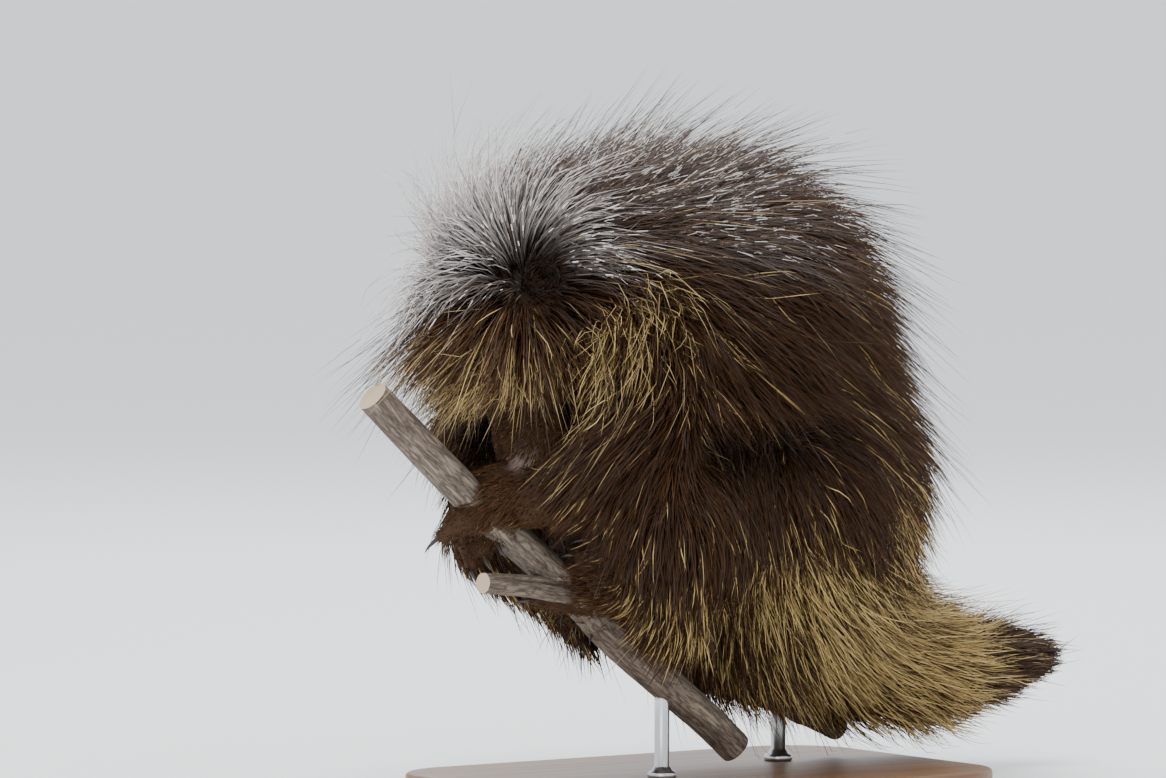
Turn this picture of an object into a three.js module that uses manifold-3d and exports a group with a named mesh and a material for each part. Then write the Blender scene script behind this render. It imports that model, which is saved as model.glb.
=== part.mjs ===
// North American porcupine, hunched asleep in the fork of a limb, life size, on a display stand.
// Millimetres, +Z up. The animal faces -X, its left side is -Y, and the origin is the centre of the
// stand's underside.

import * as THREE from "three";
import { mergeVertices } from "three/addons/utils/BufferGeometryUtils.js";
import Module from "manifold-3d";

const wasm = await Module();
wasm.setup();

const v3 = (x, y, z) => new THREE.Vector3(x, y, z);

// Random numbers from 0 to 1 that come out alike for the same seed.
function seededRandom(seed) {
  let state = seed;
  return () => {
    state = (state + 0x6d2b79f5) | 0;
    let t = Math.imul(state ^ (state >>> 15), 1 | state);
    t = (t + Math.imul(t ^ (t >>> 7), 61 | t)) ^ t;
    return ((t ^ (t >>> 14)) >>> 0) / 4294967296;
  };
}

// Driving dimensions.
const GAP = 0.35; // air left between neighbouring nodes
const COAT_SHARE = 0.42; // share of the coat's depth that a solid core reaches, under the locks
const TRUNK_CELL = 36; // facet size on the trunk
const LIMB_CELL = 26;
const HEAD_CELL = 15;
const MUZZLE_CELL = 8;
const PAW_CELL = 12;
const TAIL_CELL = 24;
const SEED = 20437;

// Locks of guard hair: half their width and thickness for each millimetre of length, the depth that a
// root is sunk, and what a lock keeps from the other cores, from the other cores' locks and from the base.
const LOCK = { wide: 0.21, thick: 0.042, widest: 17, sunk: 14, room: 10, apart: 9, lowest: 27 };

const EYE_RADIUS = 6.5;
const LID_THICKNESS = 1.5;
const EAR = { length: 28, radius: 15, wall: 2.6 };
const TOE_RADIUS = 6;
const MOUTH = { along: 88, brow: -7, lip: 2.2, line: 1.3 };
const NOSTRIL = { radius: 3.4, along: 121, brow: 9, apart: 7.5 };
const CLAW = { length: 19, radius: 2.6 };

// What stays free of locks: the face beyond a distance along the muzzle, rounds about the eyes and the
// ears, the paws, and a strip along the cut through the trunk.
const BARE = { face: 44, eye: 21, paw: 40, cut: 9 };

const BASE = { length: 430, width: 290, height: 14, corner: 60, chamfer: 3 };
const ROD_RADIUS = 6;

const COLOURS = {
  coat: 0x2b211a, goldenCoat: 0x6b4a22, shortFur: 0x5a3d26, nose: 0x6d655e, eye: 0x0d0a08,
  bark: 0x8d8069, timber: 0x9a7148, steel: 0xb4b6b8,
};

// The head has axes of its own: along the muzzle, out of the brow, and towards its left ear.
const HEAD_ORIGIN = v3(-199, -25, 391);
const MUZZLE_WAY = v3(0.012, -0.198, -0.98).normalize();
const BROW_WAY = v3(-0.985, -0.17, 0.022).projectOnPlane(MUZZLE_WAY).normalize();
const LEFT_WAY = v3(0, 0, 0).crossVectors(BROW_WAY, MUZZLE_WAY).normalize();
const MUZZLE_SPLIT = 64; // where the head and the muzzle part, along the muzzle

const HEAD_TURN = new THREE.Matrix4().makeBasis(MUZZLE_WAY, BROW_WAY, LEFT_WAY);
const headWay = (along, brow, left) => v3(along, brow, left).applyMatrix4(HEAD_TURN);
const onHead = (along, brow, left) => headWay(along, brow, left).add(HEAD_ORIGIN);
const EYE_PLACES = { left: onHead(50, 17, 27), right: onHead(50, 17, -27) };
const EAR_FEET = { left: onHead(-6, 18, 40), right: onHead(-6, 18, -40) };

// Masses of flesh. A ball has a centre and three radii, and a taper runs from a to b between two
// radii. The coat is the depth of the fur that lies over the mass.
const ball = (centre, radii, coat) => ({ centre, radii, coat });
const taper = (a, b, ra, rb, coat) => ({ a, b, ra, rb, coat });
const headBall = (along, brow, left, radii, coat) =>
  ({ centre: onHead(along, brow, left), radii, coat, onHead: true });

const TRUNK = [
  ball(v3(-62, 0, 352), v3(80, 84, 92), 50),
  ball(v3(10, 0, 346), v3(108, 100, 112), 52),
  ball(v3(56, 0, 236), v3(98, 100, 126), 50),
  ball(v3(-30, 0, 262), v3(78, 78, 92), 40),
];
const TRUNK_SPLIT = { point: v3(35, 0, 290), facing: v3(0.5, 0, -0.866) };

const NECK = [taper(v3(-66, 0, 372), v3(-164, -12, 396), 78, 54, 30)];

const HEAD = [
  headBall(-2, 0, 0, v3(46, 38, 40), 26),
  headBall(24, -10, 22, v3(30, 26, 20), 18),
  headBall(24, -10, -22, v3(30, 26, 20), 18),
  taper(onHead(16, 4, 0), onHead(66, 2, 0), 34, 25, 9),
  taper(onHead(66, 2, 0), onHead(102, 3, 0), 24, 19, 3),
  headBall(107, 7, 0, v3(17, 16, 20), 2),
  headBall(94, -12, 0, v3(20, 11, 14), 3),
  headBall(97, -3, 11, v3(16, 12, 11), 2),
  headBall(97, -3, -11, v3(16, 12, 11), 2),
];

// The tail, from the rump to its tip.
const TAIL_LINE = [v3(92, 0, 178), v3(158, 0, 106), v3(232, -2, 86), v3(296, -4, 88), v3(338, -6, 90)];
const TAIL_RADII = [46, 36, 27, 18, 9];
const TAIL = TAIL_LINE.slice(1).map((point, i) =>
  taper(TAIL_LINE[i], point, TAIL_RADII[i], TAIL_RADII[i + 1], 34));

// Joints of the legs. The right ones sit wider, because the limbs that it straddles part there.
const LEGS = {
  left: {
    shoulder: v3(-112, -70, 344), elbow: v3(-124, -102, 280), wrist: v3(-197, -60, 240),
    hip: v3(30, -66, 240), knee: v3(-110, -106, 222), ankle: v3(-84, -62, 134),
  },
  right: {
    shoulder: v3(-112, 70, 344), elbow: v3(-146, 84, 274), wrist: v3(-206, 8, 248),
    hip: v3(30, 66, 240), knee: v3(-120, 98, 212), ankle: v3(-58, 44, 140),
  },
};

const foreleg = (leg) => [
  taper(leg.shoulder, leg.elbow, 42, 28, 24),
  taper(leg.elbow, leg.wrist, 26, 16, 13),
];
const hindleg = (leg) => [
  taper(leg.hip, leg.knee, 64, 36, 32),
  taper(leg.knee, leg.ankle, 34, 19, 16),
];

// Each paw lies on a limb of the fork, from the heel to the knuckles, and its toes bend over the bark.
const PAWS = {
  forepaw_left: {
    heel: v3(-204, -54, 238), palm: v3(-222, -42, 245), radii: v3(22, 20, 14), toes: 4,
    reach: v3(-26, 2, -2), bend: v3(-8, 14, -20), spread: v3(8, 0, 9),
  },
  forepaw_right: {
    heel: v3(-208, 0, 244), palm: v3(-206, -14, 232), radii: v3(19, 18, 16), toes: 4,
    reach: v3(-20, -10, -16), bend: v3(6, -14, -16), spread: v3(7, -3, 8),
  },
  hindfoot_left: {
    heel: v3(-78, -56, 131), palm: v3(-126, -55, 172), radii: v3(25, 16, 17), toes: 5,
    reach: v3(-26, 4, 14), bend: v3(-12, 16, -8), spread: v3(6, -6, 9),
  },
  hindfoot_right: {
    heel: v3(-56, 36, 133), palm: v3(-100, 8, 152), radii: v3(24, 20, 14), toes: 5,
    reach: v3(-26, -12, 6), bend: v3(-10, -6, -18), spread: v3(-4, 9, 5),
  },
};

// The fork that it grips, a sawn length of willow: near limb, far limb and the stub of a side shoot.
const FORK = {
  near: {
    points: [v3(-338, -35, 326), v3(-278, -37, 271), v3(-221, -34, 223), v3(-162, -36, 176),
      v3(-112, -34, 132), v3(-63, -36, 92), v3(-22, -37, 60), v3(8, -38, 34)],
    radii: [13, 14, 13.5, 13, 15, 14, 13.5, 13],
  },
  far: {
    points: [v3(-128, -33, 146), v3(-92, -4, 128), v3(-40, 16, 106), v3(30, 22, 84),
      v3(100, 30, 64), v3(168, 40, 36)],
    radii: [13, 12.5, 12, 11.5, 11, 10],
  },
  side: { points: [v3(-146, -38, 163), v3(-190, -44, 172), v3(-246, -52, 178)], radii: [10, 9, 8] },
};
const FORK_MASSES = Object.values(FORK).flatMap(({ points, radii }) =>
  points.slice(1).map((point, i) => taper(points[i], point, radii[i], radii[i + 1], 0)));
const BARK_SIDES = 8;
const RODS = { stand_rod_1: v3(-63, -36, 92), stand_rod_2: v3(100, 30, 64) };

// Distance from a point to a mass grown by a share of its coat.
function distanceTo(mass, point, share) {
  const grow = mass.coat * share;
  if (mass.a) {
    const axis = mass.b.clone().sub(mass.a);
    const along = point.clone().sub(mass.a).dot(axis) / axis.lengthSq();
    const t = Math.min(1, Math.max(0, along));
    const radius = mass.ra + (mass.rb - mass.ra) * t + grow;
    return point.distanceTo(mass.a.clone().addScaledVector(axis, t)) - radius;
  }
  let q = point.clone().sub(mass.centre);
  if (mass.onHead) q = v3(q.dot(MUZZLE_WAY), q.dot(BROW_WAY), q.dot(LEFT_WAY));
  const r = mass.radii.clone().addScalar(grow);
  const near = q.clone().divide(r);
  const slope = near.clone().divide(r).length();
  return slope < 1e-9 ? -Math.min(r.x, r.y, r.z) : (near.length() * (near.length() - 1)) / slope;
}

// The masses melted into one another over a width.
function fieldOf(masses, share, melt) {
  return (point) => {
    let distance = distanceTo(masses[0], point, share);
    for (const mass of masses.slice(1)) {
      const next = distanceTo(mass, point, share);
      const blend = Math.max(melt - Math.abs(distance - next), 0) / melt;
      distance = Math.min(distance, next) - (blend * blend * melt) / 4;
    }
    return distance;
  };
}

// Box round the masses, with room for their coat.
function boxRound(masses, share) {
  const box = new THREE.Box3();
  for (const mass of masses) {
    const balls = mass.a ? [[mass.a, mass.ra], [mass.b, mass.rb]] : [[mass.centre, Math.max(...mass.radii)]];
    for (const [centre, radius] of balls) {
      const half = radius + mass.coat * share + 6;
      box.union(new THREE.Box3(centre.clone().subScalar(half), centre.clone().addScalar(half)));
    }
  }
  return box;
}

const CORNERS = [...Array(8).keys()].map((c) => [c & 1, (c >> 1) & 1, (c >> 2) & 1]);
const CELL_EDGES = CORNERS.flatMap((_, a) =>
  [1, 2, 4].filter((bit) => !(a & bit)).map((bit) => [a, a | bit]));

// A closed mesh of the surface where the field is zero. Each cell that the surface crosses gets one
// vertex, and each grid edge that it crosses gets one four-sided face between the cells around it.
function surfaceOf(field, box, cell) {
  const size = box.getSize(v3(0, 0, 0));
  const [nx, ny, nz] = [...size].map((length) => Math.ceil(length / cell) + 3);
  const cellIndex = (i, j, k) => (k * ny + j) * nx + i;
  const cornerAt = (i, j, k) => v3(i - 1, j - 1, k - 1).multiplyScalar(cell).add(box.min);
  const eachCell = (visit, first, last) => {
    for (let k = first; k < nz - last; k++) {
      for (let j = first; j < ny - last; j++) {
        for (let i = first; i < nx - last; i++) visit(i, j, k);
      }
    }
  };
  const values = [];
  eachCell((i, j, k) => values.push(field(cornerAt(i, j, k))), 0, 0);

  const vertexOf = new Map();
  const vertices = [];
  eachCell((i, j, k) => {
    const sum = v3(0, 0, 0);
    let crossings = 0;
    for (const [a, b] of CELL_EDGES) {
      const [ai, aj, ak] = CORNERS[a];
      const [bi, bj, bk] = CORNERS[b];
      const atA = values[cellIndex(i + ai, j + aj, k + ak)];
      const atB = values[cellIndex(i + bi, j + bj, k + bk)];
      if (atA < 0 === atB < 0) continue;
      const from = cornerAt(i + ai, j + aj, k + ak);
      sum.add(from.lerp(cornerAt(i + bi, j + bj, k + bk), atA / (atA - atB)));
      crossings += 1;
    }
    if (crossings === 0) return;
    vertexOf.set(cellIndex(i, j, k), vertices.length);
    vertices.push(sum.divideScalar(crossings));
  }, 0, 1);

  const faces = [];
  const addFace = ([a, b, c, d]) => {
    const short = vertices[a].distanceTo(vertices[c]) < vertices[b].distanceTo(vertices[d]);
    faces.push(...(short ? [[a, b, c], [a, c, d]] : [[a, b, d], [b, c, d]]));
  };
  const AROUND = [
    { step: [1, 0, 0], cells: [[0, 1, 1], [0, 0, 1], [0, 0, 0], [0, 1, 0]] },
    { step: [0, 1, 0], cells: [[1, 0, 1], [1, 0, 0], [0, 0, 0], [0, 0, 1]] },
    { step: [0, 0, 1], cells: [[1, 1, 0], [0, 1, 0], [0, 0, 0], [1, 0, 0]] },
  ];
  eachCell((i, j, k) => {
    const inside = values[cellIndex(i, j, k)] < 0;
    for (const { step, cells } of AROUND) {
      const beyond = values[cellIndex(i + step[0], j + step[1], k + step[2])] < 0;
      if (inside === beyond) continue;
      const ring = cells.map(([di, dj, dk]) => vertexOf.get(cellIndex(i - di, j - dj, k - dk)));
      addFace(inside ? ring : ring.reverse());
    }
  }, 1, 1);
  return { vertices, faces };
}

// The same mesh with each vertex moved out along its normal.
function grown({ vertices, faces }, distance) {
  const normals = vertices.map(() => v3(0, 0, 0));
  for (const [a, b, c] of faces) {
    const edge = vertices[b].clone().sub(vertices[a]);
    const normal = edge.cross(vertices[c].clone().sub(vertices[a]));
    for (const index of [a, b, c]) normals[index].add(normal);
  }
  const moved = vertices.map((point, i) => point.clone().addScaledVector(normals[i].normalize(), distance));
  return { vertices: moved, faces };
}

// A tube of rings along a row of points. A ring has one radius, or one across and one through, and a
// last radius of 0 ends the tube in a point.
function tubeAlong(points, radii, sides, across = v3(0.31, 0.77, 0.55)) {
  const vertices = [];
  const faces = [];
  const pointed = radii[radii.length - 1] === 0;
  const rings = pointed ? points.length - 1 : points.length;
  let side = across.clone();
  for (let i = 0; i < rings; i++) {
    const next = points[Math.min(i + 1, points.length - 1)];
    const along = next.clone().sub(points[Math.max(i - 1, 0)]).normalize();
    side = side.projectOnPlane(along).normalize();
    const up = along.clone().cross(side);
    const [wide, thick] = Array.isArray(radii[i]) ? radii[i] : [radii[i], radii[i]];
    for (let k = 0; k < sides; k++) {
      const turn = (2 * Math.PI * k) / sides;
      const point = points[i].clone().addScaledVector(side, wide * Math.cos(turn));
      vertices.push(point.addScaledVector(up, thick * Math.sin(turn)));
    }
  }
  for (let i = 0; i + 1 < rings; i++) {
    for (let k = 0; k < sides; k++) {
      const a = i * sides + k;
      const b = i * sides + ((k + 1) % sides);
      faces.push([a, b, a + sides], [b, b + sides, a + sides]);
    }
  }
  const last = (rings - 1) * sides;
  for (let k = 1; k + 1 < sides; k++) {
    faces.push([0, k + 1, k]);
    if (!pointed) faces.push([last, last + k, last + k + 1]);
  }
  if (pointed) {
    vertices.push(points[rings].clone());
    for (let k = 0; k < sides; k++) faces.push([last + k, last + ((k + 1) % sides), vertices.length - 1]);
  }
  return { vertices, faces };
}

// Solids from meshes and from geometries.
function solidOf({ vertices, faces }) {
  const vertProperties = new Float32Array(vertices.flatMap((point) => [...point]));
  const triVerts = new Uint32Array(faces.flat());
  return new wasm.Manifold(new wasm.Mesh({ numProp: 3, vertProperties, triVerts }));
}

function solidOfGeometry(geometry) {
  geometry.deleteAttribute("normal");
  geometry.deleteAttribute("uv");
  const merged = mergeVertices(geometry, 1e-4);
  const vertProperties = new Float32Array(merged.attributes.position.array);
  const triVerts = new Uint32Array(merged.index.array);
  return new wasm.Manifold(new wasm.Mesh({ numProp: 3, vertProperties, triVerts }));
}

// A block that fills one side of a plane, the side that its facing points to.
function halfSpace(point, facing) {
  const SPAN = 900;
  const block = new THREE.BoxGeometry(SPAN, SPAN, SPAN).translate(0, 0, SPAN / 2);
  const turn = new THREE.Quaternion().setFromUnitVectors(v3(0, 0, 1), facing.clone().normalize());
  return solidOfGeometry(block.applyQuaternion(turn).translate(...point));
}

const joined = (solids) => solids.reduce((sum, solid) => sum.add(solid));
const larger = (best, piece) => (piece.volume() > best.volume() ? piece : best);
const largest = (solid) => solid.decompose().reduce(larger);

const group = new THREE.Group();
const clearances = []; // for each finished node, its solid with the air gap added

function addNode(name, solid, clearance, colour, roughness = 0.9, metalness = 0) {
  const mesh = largest(solid).getMesh();
  const geometry = new THREE.BufferGeometry();
  const positions = new Float32Array(mesh.numVert * 3);
  for (let i = 0; i < mesh.numVert; i++) {
    positions.set(mesh.vertProperties.subarray(i * mesh.numProp, i * mesh.numProp + 3), i * 3);
  }
  geometry.setAttribute("position", new THREE.BufferAttribute(positions, 3));
  geometry.setIndex(new THREE.BufferAttribute(mesh.triVerts, 1));
  geometry.computeVertexNormals();
  const material = new THREE.MeshStandardMaterial({ color: colour, roughness, metalness });
  const node = new THREE.Mesh(geometry, material);
  node.name = name;
  group.add(node);
  clearances.push(clearance);
}

// A solid cut clear of every node made before it.
const cutClear = (solid) => clearances.reduce((rest, clearance) => rest.subtract(clearance), solid);

// The cores that carry the coat, by what they are.
const CORES = {
  trunk: { masses: TRUNK, cell: TRUNK_CELL, melt: 36 },
  head: { masses: HEAD, cell: HEAD_CELL, melt: 14 },
  neck: { masses: NECK, cell: TRUNK_CELL, melt: 20 },
  foreleg_left: { masses: foreleg(LEGS.left), cell: LIMB_CELL, melt: 20 },
  hindleg_left: { masses: hindleg(LEGS.left), cell: LIMB_CELL, melt: 24 },
  foreleg_right: { masses: foreleg(LEGS.right), cell: LIMB_CELL, melt: 20 },
  hindleg_right: { masses: hindleg(LEGS.right), cell: LIMB_CELL, melt: 24 },
  tail: { masses: TAIL, cell: TAIL_CELL, melt: 14 },
  perch: { masses: FORK_MASSES, cell: LIMB_CELL, melt: 4 },
};
for (const core of Object.values(CORES)) {
  core.field = fieldOf(core.masses, COAT_SHARE, core.melt);
  core.box = boxRound(core.masses, COAT_SHARE);
}

// A core's surface, its solid, and the same with the air gap.
function coreOf(name) {
  const { field, box, cell } = CORES[name];
  const mesh = surfaceOf(field, box, cell);
  return { mesh, solid: solidOf(mesh), room: solidOf(grown(mesh, GAP)) };
}

// Which way out of a field's surface.
function outOf(field, point) {
  const gradient = ["x", "y", "z"].map((axis) => {
    const step = v3(0, 0, 0);
    step[axis] = 0.5;
    return field(point.clone().add(step)) - field(point.clone().sub(step));
  });
  return v3(...gradient).normalize();
}

// The lie of the coat: along the back and down the flanks, round the whorl on each haunch, away from
// each ear, down the legs, and along the tail.
const BACK_LINE = new THREE.CatmullRomCurve3([
  v3(-150, 0, 430), v3(-60, 0, 452), v3(20, 0, 460), v3(110, 0, 400), v3(165, 0, 280), v3(150, 0, 150),
]);
const HAUNCH_WHORL = v3(15, 118, 290);

function alongLine(curve, point) {
  const shares = [...Array(25).keys()].map((i) => i / 24);
  const distance = (share) => curve.getPoint(share).distanceTo(point);
  return curve.getTangent(shares.reduce((best, share) => (distance(share) < distance(best) ? share : best)));
}

const downwards = (share) => v3(0, 0, -share);
const lieOfTrunk = (point) =>
  alongLine(BACK_LINE, point).add(downwards(Math.min(1, Math.abs(point.y) / 130) * 0.9));
const lieOfHead = (point) => {
  const [near] = Object.values(EAR_FEET).sort((a, b) => a.distanceTo(point) - b.distanceTo(point));
  return point.clone().sub(near).normalize().add(downwards(0.35));
};
const lieOfHaunch = (point) => {
  const whorl = v3(HAUNCH_WHORL.x, Math.sign(point.y) * HAUNCH_WHORL.y, HAUNCH_WHORL.z);
  return point.clone().sub(whorl).normalize().add(downwards(0.45));
};
const lieOfTail = (point) => alongLine(new THREE.CatmullRomCurve3(TAIL_LINE), point);
const lieOfLeg = (leg, from, to) => () => leg[to].clone().sub(leg[from]).normalize().add(downwards(0.3));

// Coats: the spacing of the roots, the lie, the angle that a lock stands off the skin, and its length.
// Each of the last two goes by the place and by the way that the skin faces there.
const alongHead = (point) => point.clone().sub(HEAD_ORIGIN).dot(MUZZLE_WAY);
const COATS = {
  trunk: {
    spacing: 54, lie: lieOfTrunk, stand: (_, out) => 38 + 24 * out.z,
    long: (_, out) => 68 + 12 * out.z + 30 * Math.max(0, out.z) ** 3 - 25 * Math.max(0, -out.z),
  },
  neck: {
    spacing: 37, lie: lieOfTrunk, stand: (_, out) => 42 + 20 * out.z, long: (_, out) => 78 + 20 * out.z,
  },
  head: {
    spacing: 24, lie: lieOfHead, stand: (point) => 52 - 0.35 * Math.max(0, alongHead(point)),
    long: (point) => 94 - 1.2 * Math.max(0, alongHead(point)),
  },
  tail: { spacing: 53, lie: lieOfTail, stand: () => 30, long: (point) => 64 - 0.05 * (point.x - 90) },
};
for (const side of ["left", "right"]) {
  const leg = LEGS[side];
  COATS[`foreleg_${side}`] = {
    spacing: 42, stand: () => 26, long: (point) => (point.z > leg.elbow.z ? 46 : 30),
    lie: lieOfLeg(leg, "shoulder", "elbow"),
  };
  COATS[`hindleg_${side}`] = {
    spacing: 54, stand: () => 36, long: (point) => (point.z > leg.knee.z - 10 ? 60 : 42), lie: lieOfHaunch,
  };
}

// Points spread over a mesh at a given spacing, each with the way out of the surface.
function scatterOver({ vertices, faces }, spacing, random) {
  const reach = [];
  let area = 0;
  for (const [a, b, c] of faces) {
    const edge = vertices[b].clone().sub(vertices[a]);
    area += edge.cross(vertices[c].clone().sub(vertices[a])).length() / 2;
    reach.push(area);
  }
  const spots = [];
  const tries = Math.round((area / (spacing * spacing)) * 30);
  for (let n = 0; n < tries; n++) {
    const mark = random() * area;
    const [a, b, c] = faces[reach.findIndex((sum) => sum >= mark)].map((i) => vertices[i]);
    const u = Math.sqrt(random());
    const v = random();
    const point = a.clone().lerp(b.clone().lerp(c, v), u);
    if (spots.every((spot) => spot.distanceTo(point) > spacing * 0.86)) spots.push(point);
  }
  return spots;
}

// One lock's course: it leaves the skin at its angle, leans over towards its lie, droops a little, and
// bends clear of the cores beside its own.
function courseOf(root, out, coat, others, turns) {
  const lie = coat.lie(root).projectOnPlane(out).normalize().applyAxisAngle(out, turns.swing);
  const length = coat.long(root, out) * turns.stretch;
  const angle = THREE.MathUtils.degToRad(coat.stand(root, out) + turns.lift);
  const heading = lie.clone().multiplyScalar(Math.cos(angle)).addScaledVector(out, Math.sin(angle));
  const course = [root.clone().addScaledVector(heading, -LOCK.sunk)];
  const at = root.clone();
  for (const share of [0.42, 0.33, 0.25]) {
    at.addScaledVector(heading, share * length);
    for (const field of others) {
      const short = LOCK.room - field(at);
      if (short > 0) at.addScaledVector(outOf(field, at), short);
    }
    at.z = Math.max(at.z, LOCK.lowest);
    course.push(at.clone());
    heading.addScaledVector(lie, 0.3).add(downwards(0.12)).normalize();
  }
  return { course, length, across: lie.clone().cross(out) };
}

// All locks of one core. A lock that would cross one of another core is lifted or lowered, or left out.
const laidLocks = [];
function growLocks(name, mesh, skip = () => false) {
  const random = seededRandom(SEED + Object.keys(COATS).indexOf(name));
  const coat = COATS[name];
  const own = CORES[name].field;
  const others = Object.entries(CORES).filter(([other]) => other !== name).map(([, core]) => core.field);
  const locks = [];
  for (const root of scatterOver(mesh, coat.spacing, random)) {
    const swing = (random() - 0.5) * 0.5;
    const stretch = 0.88 + random() * 0.24;
    const tilt = (random() - 0.5) * 12;
    const onPaw = Object.values(PAWS).some(({ heel, palm }) =>
      Math.min(heel.distanceTo(root), palm.distanceTo(root)) < BARE.paw);
    if (onPaw || skip(root) || others.some((field) => field(root) < 3)) continue;
    for (const lift of [0, 12, -10, 24]) {
      const lock = courseOf(root, outOf(own, root), coat, others, { swing, stretch, lift: tilt + lift });
      const [, first, second, tip] = lock.course;
      const along = [first, first.clone().lerp(second, 0.5), second, tip];
      const crosses = laidLocks.some((other) => other.name !== name
        && along.some((p) => other.along.some((q) => p.distanceTo(q) < LOCK.apart)));
      if (crosses) continue;
      laidLocks.push({ name, along });
      locks.push({ ...lock, root });
      break;
    }
  }
  return locks;
}

function lockSolid({ course, length, across }, extra) {
  const wide = Math.min(LOCK.widest, LOCK.wide * length);
  const thick = Math.min(3.2, LOCK.thick * length);
  const rings = [[0.5, 1], [1, 1], [0.62, 0.8]].map(([w, t]) => [wide * w + extra, thick * t + extra]);
  return solidOf(tubeAlong(course, [...rings, 0], 4, across));
}

// A core with its locks fused on, and the same with the air gap.
const withLocks = (solid, locks) => joined([solid, ...locks.map((lock) => lockSolid(lock, 0))]);
const roomFor = (room, locks) => joined([room, ...locks.map((lock) => lockSolid(lock, GAP))]);

// Perch: the sawn fork, with the bark's slow swells.
function makePerch() {
  const limbs = (extra) => Object.values(FORK).map(({ points, radii }) => {
    const line = new THREE.CatmullRomCurve3(points);
    const count = Math.round((points.length - 1) * 1.5);
    const rings = [...Array(count + 1).keys()].map((i) => {
      const at = (i / count) * (points.length - 1);
      const low = Math.min(Math.floor(at), points.length - 2);
      return radii[low] + (radii[low + 1] - radii[low]) * (at - low) + extra;
    });
    return solidOf(tubeAlong(rings.map((_, i) => line.getPoint(i / count)), rings, BARK_SIDES));
  });
  addNode("perch_limb", joined(limbs(0)), joined(limbs(GAP)), COLOURS.bark, 0.85);
}

// Stand: a flat base with rounded corners, and a rod up to the underside of each limb.
function makeStand() {
  const { length, width, height, corner, chamfer } = BASE;
  const x = length / 2 - chamfer;
  const y = width / 2 - chamfer;
  const r = corner - chamfer;
  const outline = new THREE.Shape();
  outline.moveTo(-x + r, -y);
  outline.lineTo(x - r, -y);
  outline.absarc(x - r, -y + r, r, -Math.PI / 2, 0);
  outline.absarc(x - r, y - r, r, 0, Math.PI / 2);
  outline.absarc(-x + r, y - r, r, Math.PI / 2, Math.PI);
  outline.absarc(-x + r, -y + r, r, Math.PI, 1.5 * Math.PI);
  const slab = new THREE.ExtrudeGeometry(outline, {
    depth: height - 2 * chamfer,
    bevelThickness: chamfer,
    bevelSize: chamfer,
    bevelSegments: 1,
    curveSegments: 4,
  });
  const base = solidOfGeometry(slab.translate(0, 0, chamfer));
  addNode("stand_base", base, base, COLOURS.timber, 0.6);
  for (const [name, top] of Object.entries(RODS)) {
    const low = height + GAP;
    const rod = new THREE.CylinderGeometry(ROD_RADIUS, ROD_RADIUS, top.z - low, 16).rotateX(Math.PI / 2);
    const solid = solidOfGeometry(rod.translate(top.x, top.y, (top.z + low) / 2));
    addNode(name, cutClear(solid), solid, COLOURS.steel, 0.35, 1);
  }
}

// Trunk: one core, parted into torso and rump by a thin slanting cut, each with its own locks.
function makeTrunk() {
  const { mesh, solid, room } = coreOf("trunk");
  const { point, facing } = TRUNK_SPLIT;
  const behind = (root) => root.clone().sub(point).dot(facing);
  const locks = growLocks("trunk", mesh, (root) => Math.abs(behind(root)) < BARE.cut);
  for (const [name, side] of [["torso", 1], ["rump", -1]]) {
    const away = facing.clone().multiplyScalar(side);
    const cut = (gap) => halfSpace(point.clone().addScaledVector(away, gap), away);
    const own = locks.filter(({ root }) => behind(root) * side < 0);
    const full = withLocks(solid.subtract(cut(-GAP / 2)), own);
    addNode(name, cutClear(full), roomFor(room.subtract(cut(GAP / 2)), own), COLOURS.coat);
  }
}

// Half an eyelid opening: a flat cone that widens outwards from the middle of the eye.
function lidOpening(eye, outward) {
  const points = [eye, eye.clone().addScaledVector(outward, 2 * EYE_RADIUS)];
  return solidOf(tubeAlong(points, [[0.5, 0.3], [2.4 * EYE_RADIUS, 1.1 * EYE_RADIUS]], 6, MUZZLE_WAY));
}

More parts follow.
